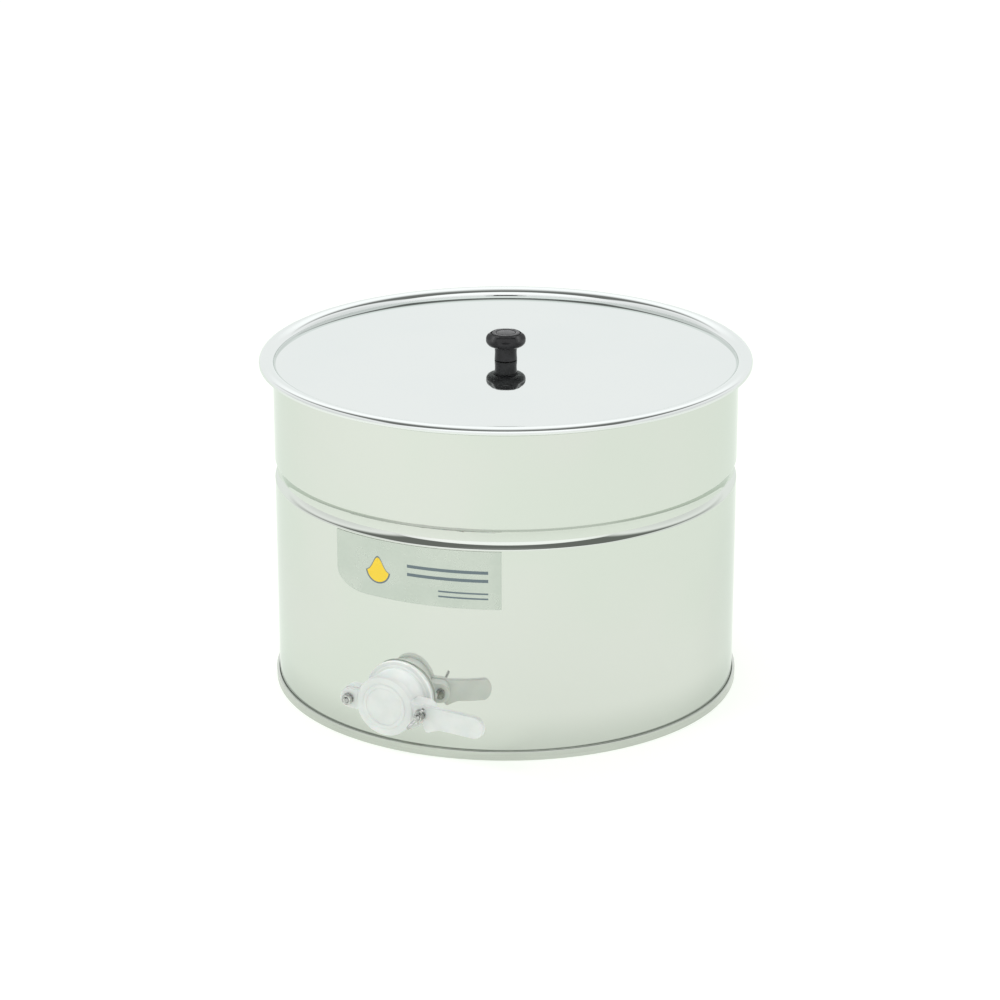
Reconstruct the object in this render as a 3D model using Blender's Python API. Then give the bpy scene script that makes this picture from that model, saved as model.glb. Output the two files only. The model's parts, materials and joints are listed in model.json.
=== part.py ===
"""A lidded stainless straining tank with a lift-out strainer and a plastic honey gate.

Metres, +Z up. The drum's axis is Z, the tank stands on z = 0, and the gate points along -Y.
The gate's pieces are modelled in the gate's own frame: x to the right, y up and z away from
the drum's axis, so that their turned profiles are (radius, distance from the drum's axis).
"""

import math

import bmesh
import bpy
from mathutils import Vector

# Shared
GAP = 0.0003
SHEET = 0.001
ROUND_STEPS = 64
GATE_STEPS = 32
BOLT_STEPS = 24
SMOOTH_BELOW = math.radians(40)

# Drum wall
DRUM_RADIUS = 0.250
WALL_MID = DRUM_RADIUS - SHEET / 2
WALL_INSIDE = DRUM_RADIUS - SHEET
FLOOR_THICKNESS = 0.0012
BEAD_LOW = 0.2312
BEAD_HIGH = 0.2538
BEAD_DEPTH = 0.006
BEAD_STEPS = 4

# Rim: the lid's rolled edge over the drum's curled edge, both elliptical in section
RIM_RADIUS = 0.2572
RIM_HEIGHT = 0.3613
RIM_HALF_WIDTH = 0.0070
RIM_HALF_HEIGHT = 0.0042
CURL_HALF_WIDTH = 0.0055
CURL_TOP_HALF_HEIGHT = 0.0027
CURL_FLARE_START = 0.3560
CURL_END_ANGLE = math.radians(-135)
RIM_STEP = math.radians(45)
SKIRT_END = 0.3592

# Bottom disc
HEM_OUTSIDE = 0.2533
HEM_HEIGHT = 0.0102
HEM_ROUND = 0.0010

# Lid and knob
PANEL_MID_HEIGHT = 0.3570
PANEL_EDGE = 0.2482
SCREW_HOLE = 0.0034
KNOB_FOOT = PANEL_MID_HEIGHT + SHEET / 2 + GAP
KNOB_STEPS = 48
KNOB_LOBES = 6
KNOB_TURN = math.radians(-64.2)
KNOB_STEM = 0.0118
KNOB_WAIST = 0.0115
KNOB_WAIST_HEIGHT = 0.0070
KNOB_NECK_HEIGHT = 0.0150
KNOB_HEAD = 0.0210
KNOB_HEAD_LOW = 0.0203
KNOB_HEAD_HIGH = 0.0238
KNOB_TOP = 0.0170
KNOB_HEIGHT = 0.0300
KNOB_SCALLOP = 0.0022
KNOB_SOCKET_DEPTH = 0.0140
CAP_RADIUS = 0.0103
CAP_RECESS_DEPTH = 0.0017
KNOB_SCREW_RADIUS = 0.0030
KNOB_SCREW_REACH = 0.0135
KNOB_SCREW_HEAD_RADIUS = 0.0052
KNOB_SCREW_HEAD_HEIGHT = 0.0031
KNOB_SCREW_TOP_RADIUS = 0.0036
KNOB_SCREW_DOME = 0.0012
KNOB_WASHER_RADIUS = 0.0090
KNOB_WASHER_THICKNESS = 0.0010

# Strainer
BAND_OUTSIDE = 0.2465
BAND_LOW = 0.2517
BAND_HIGH = 0.3150
BAND_FLANGE = 0.0100
SCREEN_THICKNESS = 0.0010
SCREEN_RINGS = 4
SCREEN_RING_STEP = 0.052
SCREEN_HOLE = 0.004
SCREEN_HOLE_STEPS = 6
CROSS_REACH = 0.2405
CROSS_WIDTH = 0.003
CROSS_DEPTH = 0.0054
ROD_RADIUS = 0.0025
ROD_FROM_AXIS = 0.2385
ROD_HALF_SPAN = 0.042
ROD_FOOT = 0.285
ROD_TOP = 0.345
ROD_BEND = 0.010
ROD_BEND_STEPS = 4

# Gate, in the gate's frame
GATE_HEIGHT = 0.0634
GATE_TILT = math.radians(-2.2)
WALL_HOLE = 0.0243
BORE = 0.0185
TAIL_RADIUS = 0.0238
TAIL_END = 0.2300
FLANGE_RADIUS = 0.0380
FLANGE_BACK = 0.2515
FLANGE_FRONT = 0.2550
FLANGE_ROUND = 0.0012
NECK_RADIUS = 0.0300
SEAT = 0.2797
SEAL_INSIDE = 0.0212
SEAL_OUTSIDE = 0.0262
SEAL_DEPTH = 0.0020
GASKET_INSIDE = 0.0250
GASKET_OUTSIDE = 0.0374
INNER_GASKET_OUTSIDE = 0.0330
INNER_GASKET_BACK = 0.2425
NUT_RADIUS = 0.0345
NUT_LOBE_DEPTH = 0.0030
NUT_LOBES = 8
NUT_BACK = 0.2322
BOLT_SPREAD = 0.0418
EAR_BACK = 0.2667
EAR_RADIUS = 0.0112
EAR_ROOT = 0.0265

# Shutter plate, measured from the pivot bolt
PLATE_BACK = SEAT + GAP
PLATE_FRONT = 0.2870
ARM_FRONT = 0.2860
PLATE_RADIUS = 0.0325
PLATE_ROUND = 0.0012
RIB_INSIDE = 0.0203
RIB_OUTSIDE = 0.0241
RIB_HEIGHT = 0.0012
PIVOT_EAR_RADIUS = 0.0105
CLAMP_EAR_RADIUS = 0.0120
HANDLE_DROP = 0.0015
HANDLE_HALF_WIDTH = 0.0118
HANDLE_START = 0.0872
HANDLE_END = 0.1548
HOOK_X = 0.0915
HOOK_DROP = 0.0140
HOOK_RADIUS = 0.0055
SLOT_HALF_WIDTH = 0.0034
SLOT_SWEEP = math.radians(20)
SLOT_STEPS = 6

# Bolts, washers and nuts
BOLT_RADIUS = 0.0030
BOLT_HEAD_RADIUS = 0.0058
BOLT_HEAD_HEIGHT = 0.0042
BOLT_TOP_RADIUS = 0.0043
FIXED_HOLE = 0.0033
RUNNING_HOLE = 0.0031
WASHER_RADIUS = 0.0062
WASHER_THICKNESS = 0.0010
WASHER_BACK = ARM_FRONT + GAP
NUT_SEAT = WASHER_BACK + WASHER_THICKNESS + GAP
HEX_NUT_APOTHEM = 0.0050
HEX_NUT_HEIGHT = 0.0050
PIVOT_BOLT_END = 0.2944
CLAMP_BOLT_END = 0.2972
WING_TURN = math.radians(56)
WING_HUB_FOOT = 0.0052
WING_HUB_TOP = 0.0044
WING_HUB_HEIGHT = 0.0070
WING_REACH = 0.0160
WING_RISE = 0.0130
WING_THICKNESS = 0.0022
WING_TIP_RADIUS = 0.0030
WING_ROOT = 0.0037
WING_ROOT_LOW = 0.0012
WING_ROOT_HIGH = 0.0062
WING_HEEL = 0.0070
WING_HEEL_HEIGHT = 0.0016

# Label
LABEL_LEFT = math.radians(-18.4)
LABEL_RIGHT = math.radians(24.9)
LABEL_LOW = 0.1670
LABEL_HIGH = 0.2300
LABEL_CORNER_RISE = 0.0210
LABEL_CORNER_END = math.radians(-9.6)
LABEL_THICKNESS = 0.0003


def clear_scene():
    for obj in list(bpy.data.objects):
        bpy.data.objects.remove(obj)


def make_material(name, colour, roughness, metallic):
    material = bpy.data.materials.new(name)
    material.use_nodes = True
    shader = material.node_tree.nodes["Principled BSDF"]
    shader.inputs["Base Color"].default_value = (*colour, 1.0)
    shader.inputs["Roughness"].default_value = roughness
    shader.inputs["Metallic"].default_value = metallic
    return material


def polished_steel(name):
    return make_material(name, (0.80, 0.82, 0.79), 0.10, 1.0)


def satin_steel(name):
    return make_material(name, (0.66, 0.68, 0.65), 0.28, 1.0)


def zinc_steel(name):
    return make_material(name, (0.60, 0.60, 0.58), 0.30, 1.0)


def white_plastic(name):
    return make_material(name, (0.86, 0.88, 0.86), 0.35, 0.0)


def clear_rubber(name):
    return make_material(name, (0.70, 0.72, 0.69), 0.55, 0.0)


def black_plastic(name):
    return make_material(name, (0.014, 0.015, 0.017), 0.35, 0.0)


def label_film(name):
    return make_material(name, (0.72, 0.76, 0.72), 0.30, 0.0)


def make_empty(name, parent=None, location=(0, 0, 0), rotation=(0, 0, 0)):
    empty = bpy.data.objects.new(name, None)
    bpy.context.scene.collection.objects.link(empty)
    empty.parent = parent
    empty.location = location
    empty.rotation_euler = rotation
    return empty


def add_piece(name, bm, material, parent=None, location=(0, 0, 0), turn_about_z=0.0):
    mesh = bpy.data.meshes.new(name)
    bm.to_mesh(mesh)
    bm.free()
    mesh.shade_smooth()
    mesh.set_sharp_from_angle(angle=SMOOTH_BELOW)
    piece = bpy.data.objects.new(name, mesh)
    bpy.context.scene.collection.objects.link(piece)
    piece.parent = parent
    piece.location = location
    piece.rotation_euler = (0, 0, turn_about_z)
    if material:
        mesh.materials.append(material)
    return piece


def boolean(piece, operation, bm, parent=None, location=(0, 0, 0), turn_about_z=0.0):
    """Joins or cuts piece with the shape bm, which stays in the scene as a hidden tool."""
    name = f"tool_{piece.name}_{len(piece.modifiers)}"
    tool = add_piece(name, bm, None, parent, location, turn_about_z)
    tool.hide_render = True
    tool.display_type = "WIRE"
    modifier = piece.modifiers.new(name, "BOOLEAN")
    modifier.operation = operation
    modifier.solver = "EXACT"
    modifier.object = tool


def ellipse_points(centre, half_width, half_height, angles):
    return [
        (centre[0] + half_width * math.cos(a), centre[1] + half_height * math.sin(a))
        for a in angles
    ]


def spread(start, end, steps):
    return [start + (end - start) * i / steps for i in range(steps + 1)]


def sheet_section(path, thickness):
    """The closed outline of a bent sheet whose middle follows path."""
    points = [Vector(p) for p in path]
    runs = [(end - start).normalized() for start, end in zip(points, points[1:])]
    one_side = []
    other_side = []
    for i, point in enumerate(points):
        into = runs[max(i - 1, 0)]
        out = runs[min(i, len(runs) - 1)]
        ahead = (into + out).normalized()
        mitre = 1 / ahead.dot(out)
        side = Vector((ahead.y, -ahead.x)) * thickness / 2 * mitre
        one_side.append(tuple(point + side))
        other_side.append(tuple(point - side))
    return one_side + other_side[::-1]


def turned(outline, steps, pull_in=None):
    """The solid that the closed outline of (radius, height) sweeps about Z.

    An outline that starts and ends on the axis is closed by it. pull_in(angle, height, radius)
    gives how far each point is drawn in towards the axis.
    """
    bm = bmesh.new()
    on_axis = outline[0][0] == 0 and outline[-1][0] == 0
    verts = [bm.verts.new((r, 0, z)) for r, z in outline]
    pairs = list(zip(verts, verts[1:]))
    if not on_axis:
        pairs.append((verts[-1], verts[0]))
    edges = [bm.edges.new(pair) for pair in pairs]
    bmesh.ops.spin(
        bm,
        geom=verts + edges,
        cent=(0, 0, 0),
        axis=(0, 0, 1),
        angle=2 * math.pi,
        steps=steps,
    )
    bmesh.ops.remove_doubles(bm, verts=bm.verts, dist=2e-6)
    bmesh.ops.recalc_face_normals(bm, faces=bm.faces)
    if pull_in:
        for vert in bm.verts:
            radius = math.hypot(vert.co.x, vert.co.y)
            if radius > 0:
                pull = pull_in(math.atan2(vert.co.y, vert.co.x), vert.co.z, radius)
                vert.co.xy *= (radius - pull) / radius
    return bm


def prism(outline, low, high):
    """The outline of (x, y), extruded along Z from low to high."""
    bm = bmesh.new()
    face = bm.faces.new([bm.verts.new((x, y, low)) for x, y in outline])
    swept = bmesh.ops.extrude_face_region(bm, geom=[face])
    top = [item for item in swept["geom"] if isinstance(item, bmesh.types.BMVert)]
    bmesh.ops.translate(bm, verts=top, vec=(0, 0, high - low))
    bmesh.ops.recalc_face_normals(bm, faces=bm.faces)
    return bm


def ring_prism(outer_at, inner_radius, low, high, steps):
    """A ring along Z whose outer radius is the function outer_at of the angle."""
    bm = bmesh.new()
    outer_low, outer_high, inner_high, inner_low = [], [], [], []
    for i in range(steps):
        angle = 2 * math.pi * i / steps
        along = Vector((math.cos(angle), math.sin(angle), 0))
        outer = along * outer_at(angle)
        inner = along * inner_radius
        outer_low.append(bm.verts.new(outer + Vector((0, 0, low))))
        outer_high.append(bm.verts.new(outer + Vector((0, 0, high))))
        inner_high.append(bm.verts.new(inner + Vector((0, 0, high))))
        inner_low.append(bm.verts.new(inner + Vector((0, 0, low))))
    loops = [outer_low, outer_high, inner_high, inner_low]
    for first, second in zip(loops, loops[1:] + loops[:1]):
        for i in range(steps):
            j = (i + 1) % steps
            bm.faces.new((first[i], first[j], second[j], second[i]))
    bmesh.ops.recalc_face_normals(bm, faces=bm.faces)
    return bm


def round_ring(outer_radius, inner_radius, low, high, steps):
    return ring_prism(lambda angle: outer_radius, inner_radius, low, high, steps)


def cylinder(radius, low, high, steps):
    return turned([(0, low), (radius, low), (radius, high), (0, high)], steps)


def tongue(start_x, end_x, y, half_width, steps=8):
    """A strip along X, square at start_x and half-round about a centre at end_x."""
    quarter = math.pi / 2
    end = ellipse_points((end_x, y), half_width, half_width, spread(-quarter, quarter, steps))
    return end + [(start_x, y + half_width), (start_x, y - half_width)]


def drum_shell(gate_frame):
    half_chord = (BEAD_HIGH - BEAD_LOW) / 2
    bead_radius = (half_chord**2 + BEAD_DEPTH**2) / (2 * BEAD_DEPTH)
    bead_centre = (WALL_MID - BEAD_DEPTH + bead_radius, (BEAD_LOW + BEAD_HIGH) / 2)
    half_angle = math.asin(half_chord / bead_radius)
    bead_angles = spread(math.pi + half_angle, math.pi - half_angle, BEAD_STEPS)
    rim_centre = (RIM_RADIUS, RIM_HEIGHT)
    top_angles = spread(math.pi, 0, round(math.pi / RIM_STEP))
    low_angles = spread(0, CURL_END_ANGLE, round(-CURL_END_ANGLE / RIM_STEP))[1:]
    path = [(WALL_MID, FLOOR_THICKNESS + GAP)]
    path += ellipse_points(bead_centre, bead_radius, bead_radius, bead_angles)
    path += [(WALL_MID, CURL_FLARE_START)]
    path += ellipse_points(rim_centre, CURL_HALF_WIDTH, CURL_TOP_HALF_HEIGHT, top_angles)
    path += ellipse_points(rim_centre, CURL_HALF_WIDTH, RIM_HALF_HEIGHT, low_angles)
    section = sheet_section(path, SHEET)
    shell = add_piece("drum_shell", turned(section, ROUND_STEPS), polished_steel("drum_shell"))
    hole = cylinder(WALL_HOLE, TAIL_END, FLANGE_BACK, GATE_STEPS)
    boolean(shell, "DIFFERENCE", hole, gate_frame)


def bottom_disc():
    hem_inside = DRUM_RADIUS + GAP
    outline = [
        (0, 0),
        (HEM_OUTSIDE - HEM_ROUND, 0),
        (HEM_OUTSIDE, HEM_ROUND),
        (HEM_OUTSIDE, HEM_HEIGHT - HEM_ROUND),
        (HEM_OUTSIDE - HEM_ROUND, HEM_HEIGHT),
        (hem_inside + HEM_ROUND / 2, HEM_HEIGHT),
        (hem_inside, HEM_HEIGHT - HEM_ROUND / 2),
        (hem_inside, FLOOR_THICKNESS),
        (0, FLOOR_THICKNESS),
    ]
    add_piece("bottom_disc", turned(outline, ROUND_STEPS), satin_steel("bottom_disc"))


def lid_panel():
    rim_centre = (RIM_RADIUS, RIM_HEIGHT)
    angles = spread(math.pi, 0, round(math.pi / RIM_STEP))
    path = [(SCREW_HOLE, PANEL_MID_HEIGHT), (PANEL_EDGE, PANEL_MID_HEIGHT)]
    path += ellipse_points(rim_centre, RIM_HALF_WIDTH, RIM_HALF_HEIGHT, angles)
    path += [(RIM_RADIUS + RIM_HALF_WIDTH, SKIRT_END)]
    section = sheet_section(path, SHEET)
    add_piece("lid_panel", turned(section, ROUND_STEPS), polished_steel("lid_panel"))


def knob_pull(angle, height, radius):
    """How far a scallop draws in a point of the knob's head."""
    if height < KNOB_NECK_HEIGHT or radius < KNOB_TOP:
        return 0.0
    wave = (1 + math.cos(KNOB_LOBES * (angle - KNOB_TURN))) / 2
    share = (radius - KNOB_TOP) / (KNOB_HEAD - KNOB_TOP)
    return KNOB_SCALLOP * wave * share


def lid_knob(knob_frame):
    outline = [
        (0, KNOB_SOCKET_DEPTH),
        (FIXED_HOLE, KNOB_SOCKET_DEPTH),
        (FIXED_HOLE, 0),
        (KNOB_STEM, 0),
        (KNOB_WAIST, KNOB_WAIST_HEIGHT),
        (KNOB_STEM, KNOB_NECK_HEIGHT),
    ]
    underside = ellipse_points(
        (KNOB_STEM, KNOB_HEAD_LOW),
        KNOB_HEAD - KNOB_STEM,
        KNOB_HEAD_LOW - KNOB_NECK_HEIGHT - SHEET,
        spread(math.radians(-75), 0, 3),
    )
    shoulder = ellipse_points(
        (KNOB_TOP, KNOB_HEAD_HIGH),
        KNOB_HEAD - KNOB_TOP,
        KNOB_HEIGHT - KNOB_HEAD_HIGH,
        spread(0, math.pi / 2, 3),
    )
    outline += underside + shoulder + [
        (CAP_RADIUS + GAP, KNOB_HEIGHT),
        (CAP_RADIUS + GAP, KNOB_HEIGHT - CAP_RECESS_DEPTH),
        (0, KNOB_HEIGHT - CAP_RECESS_DEPTH),
    ]
    bm = turned(outline, KNOB_STEPS, knob_pull)
    add_piece("lid_knob", bm, black_plastic("lid_knob"), knob_frame)


def knob_cap(knob_frame):
    low = KNOB_HEIGHT - CAP_RECESS_DEPTH + GAP
    outline = [(0, low), (CAP_RADIUS, low), (CAP_RADIUS, KNOB_HEIGHT), (0, KNOB_HEIGHT + GAP)]
    add_piece("knob_cap", turned(outline, KNOB_STEPS), black_plastic("knob_cap"), knob_frame)


def knob_washer(knob_frame):
    top = -SHEET - 2 * GAP
    low = top - KNOB_WASHER_THICKNESS
    bm = round_ring(KNOB_WASHER_RADIUS, FIXED_HOLE, low, top, BOLT_STEPS)
    add_piece("knob_washer", bm, zinc_steel("knob_washer"), knob_frame)


def knob_screw(knob_frame):
    head_top = -SHEET - 3 * GAP - KNOB_WASHER_THICKNESS
    outline = [
        (0, head_top - KNOB_SCREW_HEAD_HEIGHT),
        (KNOB_SCREW_TOP_RADIUS, head_top - KNOB_SCREW_HEAD_HEIGHT),
        (KNOB_SCREW_HEAD_RADIUS, head_top - KNOB_SCREW_HEAD_HEIGHT + KNOB_SCREW_DOME),
        (KNOB_SCREW_HEAD_RADIUS, head_top),
        (KNOB_SCREW_RADIUS, head_top),
        (KNOB_SCREW_RADIUS, KNOB_SCREW_REACH),
        (0, KNOB_SCREW_REACH),
    ]
    add_piece("knob_screw", turned(outline, BOLT_STEPS), zinc_steel("knob_screw"), knob_frame)


def strainer_band():
    path = [
        (BAND_OUTSIDE - BAND_FLANGE, BAND_LOW + SHEET / 2),
        (BAND_OUTSIDE - SHEET / 2, BAND_LOW + SHEET / 2),
        (BAND_OUTSIDE - SHEET / 2, BAND_HIGH),
    ]
    bm = turned(sheet_section(path, SHEET), ROUND_STEPS)
    add_piece("strainer_band", bm, satin_steel("strainer_band"))


def strainer_screen():
    low = BAND_LOW + SHEET + GAP
    high = low + SCREEN_THICKNESS
    bm = cylinder(BAND_OUTSIDE - SHEET - GAP, low, high, ROUND_STEPS)
    screen = add_piece("strainer_screen", bm, satin_steel("strainer_screen"))
    holes = bmesh.new()
    for ring in range(SCREEN_RINGS + 1):
        count = max(1, 6 * ring)
        for i in range(count):
            angle = 2 * math.pi * i / count
            from_axis = ring * SCREEN_RING_STEP
            centre = (from_axis * math.cos(angle), from_axis * math.sin(angle))
            corners = spread(0, 2 * math.pi, SCREEN_HOLE_STEPS)[:-1]
            outline = ellipse_points(centre, SCREEN_HOLE, SCREEN_HOLE, corners)
            hole = prism(outline, low - SHEET, high + SHEET)
            mesh = bpy.data.meshes.new("hole")
            hole.to_mesh(mesh)
            hole.free()
            holes.from_mesh(mesh)
            bpy.data.meshes.remove(mesh)
    boolean(screen, "DIFFERENCE", holes)


def strainer_cross():
    high = BAND_LOW - GAP
    low = high - CROSS_DEPTH
    half = CROSS_WIDTH / 2
    arm = [
        (half, half),
        (half, CROSS_REACH),
        (-half, CROSS_REACH),
        (-half, half),
    ]
    outline = []
    for quarter_turns in range(4):
        for x, y in arm:
            angle = quarter_turns * math.pi / 2
            turned_x = x * math.cos(angle) - y * math.sin(angle)
            turned_y = x * math.sin(angle) + y * math.cos(angle)
            outline.append((turned_x, turned_y))
    corners = [point for i, point in enumerate(outline) if i % 4 != 3]
    add_piece("strainer_cross", prism(corners, low, high), satin_steel("strainer_cross"))


def strainer_handle(name, side):
    """A bent rod standing on the inside of the band, on the side of +X or -X."""
    quarter = math.pi / 2
    bend_height = ROD_TOP - ROD_BEND
    bend_span = ROD_HALF_SPAN - ROD_BEND
    near_angles = spread(0, quarter, ROD_BEND_STEPS)
    far_angles = spread(quarter, math.pi, ROD_BEND_STEPS)
    near = ellipse_points((bend_span, bend_height), ROD_BEND, ROD_BEND, near_angles)
    far = ellipse_points((-bend_span, bend_height), ROD_BEND, ROD_BEND, far_angles)
    route = [(ROD_HALF_SPAN, ROD_FOOT)] + near + far + [(-ROD_HALF_SPAN, ROD_FOOT)]
    curve = bpy.data.curves.new(name, "CURVE")
    curve.dimensions = "3D"
    curve.bevel_depth = ROD_RADIUS
    curve.bevel_resolution = 2
    curve.use_fill_caps = True
    spline = curve.splines.new("POLY")
    spline.points.add(len(route) - 1)
    for point, (y, z) in zip(spline.points, route):
        point.co = (0, y, z, 1)
    curve.materials.append(satin_steel(name))
    handle = bpy.data.objects.new(name, curve)
    handle.location = (side * ROD_FROM_AXIS, 0, 0)
    bpy.context.scene.collection.objects.link(handle)


def gate_body(gate_frame):
    outline = [
        (BORE, TAIL_END),
        (TAIL_RADIUS, TAIL_END),
        (TAIL_RADIUS, FLANGE_BACK),
        (FLANGE_RADIUS, FLANGE_BACK),
        (FLANGE_RADIUS, FLANGE_FRONT - FLANGE_ROUND),
        (FLANGE_RADIUS - FLANGE_ROUND, FLANGE_FRONT),
        (NECK_RADIUS, FLANGE_FRONT),
        (NECK_RADIUS, SEAT),
        (SEAL_OUTSIDE, SEAT),
        (SEAL_OUTSIDE, SEAT - SEAL_DEPTH),
        (SEAL_INSIDE, SEAT - SEAL_DEPTH),
        (SEAL_INSIDE, SEAT),
        (BORE, SEAT),
    ]
    body = add_piece("gate_body", turned(outline, GATE_STEPS), white_plastic("gate_body"), gate_frame)
    for side in (-1, 1):
        ear = [(side * x, y) for x, y in tongue(EAR_ROOT, BOLT_SPREAD, 0, EAR_RADIUS)]
        boolean(body, "UNION", prism(ear, EAR_BACK, SEAT), gate_frame)
    for side in (-1, 1):
        hole = cylinder(FIXED_HOLE, EAR_BACK - SHEET, SEAT + SHEET, BOLT_STEPS)
        boolean(body, "DIFFERENCE", hole, gate_frame, (side * BOLT_SPREAD, 0, 0))


def gate_outer_gasket(gate_frame):
    bm = round_ring(GASKET_OUTSIDE, GASKET_INSIDE, INNER_GASKET_BACK, FLANGE_BACK - GAP, GATE_STEPS)
    gasket = add_piece("gate_outer_gasket", bm, clear_rubber("gate_outer_gasket"), gate_frame)
    boolean(gasket, "DIFFERENCE", cylinder(DRUM_RADIUS + GAP, 0, BEAD_LOW, ROUND_STEPS))


def gate_inner_gasket(gate_frame):
    bm = round_ring(INNER_GASKET_OUTSIDE, GASKET_INSIDE, INNER_GASKET_BACK, DRUM_RADIUS, GATE_STEPS)
    gasket = add_piece("gate_inner_gasket", bm, clear_rubber("gate_inner_gasket"), gate_frame)
    boolean(gasket, "INTERSECT", cylinder(WALL_INSIDE - GAP, 0, BEAD_LOW, ROUND_STEPS))


def gate_lock_nut(gate_frame):
    def lobed(angle):
        return NUT_RADIUS - NUT_LOBE_DEPTH * (1 + math.cos(NUT_LOBES * angle)) / 2

    bm = ring_prism(lobed, TAIL_RADIUS + GAP, NUT_BACK, INNER_GASKET_BACK - GAP, 2 * GATE_STEPS)
    add_piece("gate_lock_nut", bm, white_plastic("gate_lock_nut"), gate_frame)


def gate_face_seal(gate_frame):
    foot = SEAT - SEAL_DEPTH + GAP
    bm = round_ring(SEAL_OUTSIDE - GAP, SEAL_INSIDE + GAP, foot, SEAT, GATE_STEPS)
    add_piece("gate_face_seal", bm, clear_rubber("gate_face_seal"), gate_frame)


def circle(centre, radius, steps):
    return ellipse_points(centre, radius, radius, spread(0, 2 * math.pi, steps)[1:])


def gate_plate(pivot_frame):
    outline = [
        (0, PLATE_BACK),
        (PLATE_RADIUS - PLATE_ROUND / 2, PLATE_BACK),
        (PLATE_RADIUS, PLATE_BACK + PLATE_ROUND / 2),
        (PLATE_RADIUS, PLATE_FRONT - PLATE_ROUND),
        (PLATE_RADIUS - PLATE_ROUND, PLATE_FRONT),
        (RIB_OUTSIDE + RIB_HEIGHT / 2, PLATE_FRONT),
        (RIB_OUTSIDE - RIB_HEIGHT / 2, PLATE_FRONT + RIB_HEIGHT),
        (RIB_INSIDE + RIB_HEIGHT / 2, PLATE_FRONT + RIB_HEIGHT),
        (RIB_INSIDE - RIB_HEIGHT / 2, PLATE_FRONT),
        (0, PLATE_FRONT),
    ]
    disc = turned(outline, GATE_STEPS + BOLT_STEPS)
    bmesh.ops.translate(disc, verts=disc.verts, vec=(BOLT_SPREAD, 0, 0))
    plate = add_piece("gate_plate", disc, white_plastic("gate_plate"), pivot_frame)
    pivot_arm = [(BOLT_SPREAD - x, y) for x, y in tongue(0, BOLT_SPREAD, 0, PIVOT_EAR_RADIUS)]
    arms = (
        pivot_arm,
        tongue(BOLT_SPREAD, 2 * BOLT_SPREAD, 0, CLAMP_EAR_RADIUS),
        tongue(HANDLE_START, HANDLE_END - HANDLE_HALF_WIDTH, -HANDLE_DROP, HANDLE_HALF_WIDTH),
        circle((HOOK_X, -HOOK_DROP), HOOK_RADIUS, 16),
    )
    for arm in arms:
        boolean(plate, "UNION", prism(arm, PLATE_BACK, ARM_FRONT), pivot_frame)
    hole = cylinder(RUNNING_HOLE, PLATE_BACK - SHEET, PLATE_FRONT + SHEET, BOLT_STEPS)
    boolean(plate, "DIFFERENCE", hole, pivot_frame)
    slot = prism(slot_outline(), PLATE_BACK - SHEET, PLATE_FRONT + SHEET)
    boolean(plate, "DIFFERENCE", slot, pivot_frame)


def slot_outline():
    """The slot swings down from the clamp bolt on an arc about the pivot, and opens below."""
    reach = 2 * BOLT_SPREAD
    down = spread(0, -SLOT_SWEEP, SLOT_STEPS)
    outer = ellipse_points((0, 0), reach + SLOT_HALF_WIDTH, reach + SLOT_HALF_WIDTH, down)
    inner = ellipse_points((0, 0), reach - SLOT_HALF_WIDTH, reach - SLOT_HALF_WIDTH, down[::-1])
    crown = ellipse_points((reach, 0), SLOT_HALF_WIDTH, SLOT_HALF_WIDTH, spread(math.pi, 0, 8)[1:-1])
    return outer + inner + crown


def bolt(name, frame, end):
    outline = [
        (0, EAR_BACK - GAP - BOLT_HEAD_HEIGHT),
        (BOLT_TOP_RADIUS, EAR_BACK - GAP - BOLT_HEAD_HEIGHT),
        (BOLT_HEAD_RADIUS, EAR_BACK - GAP - BOLT_HEAD_HEIGHT / 2),
        (BOLT_HEAD_RADIUS, EAR_BACK - GAP),
        (BOLT_RADIUS, EAR_BACK - GAP),
        (BOLT_RADIUS, end - GAP),
        (BOLT_RADIUS - GAP, end),
        (0, end),
    ]
    add_piece(name, turned(outline, BOLT_STEPS), zinc_steel(name), frame)


def washer(name, frame):
    front = WASHER_BACK + WASHER_THICKNESS
    bm = round_ring(WASHER_RADIUS, FIXED_HOLE, WASHER_BACK, front, BOLT_STEPS)
    add_piece(name, bm, zinc_steel(name), frame)


def pivot_nut(pivot_frame):
    def hexagon(angle):
        sixth = math.pi / 3
        return HEX_NUT_APOTHEM / math.cos((angle + sixth / 2) % sixth - sixth / 2)

    bm = ring_prism(hexagon, FIXED_HOLE, NUT_SEAT, NUT_SEAT + HEX_NUT_HEIGHT, BOLT_STEPS)
    add_piece("pivot_nut", bm, zinc_steel("pivot_nut"), pivot_frame)


def wing_outline():
    """One wing seen side on: (distance from the axis, height above the hub's foot)."""
    tip = (WING_REACH - WING_TIP_RADIUS, WING_RISE - WING_TIP_RADIUS)
    tip_angles = spread(math.radians(-50), math.radians(140), 6)
    foot = [(WING_ROOT, WING_ROOT_LOW), (WING_HEEL, WING_HEEL_HEIGHT)]
    end = ellipse_points(tip, WING_TIP_RADIUS, WING_TIP_RADIUS, tip_angles)
    return foot + end + [(WING_ROOT, WING_ROOT_HIGH)]


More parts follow.
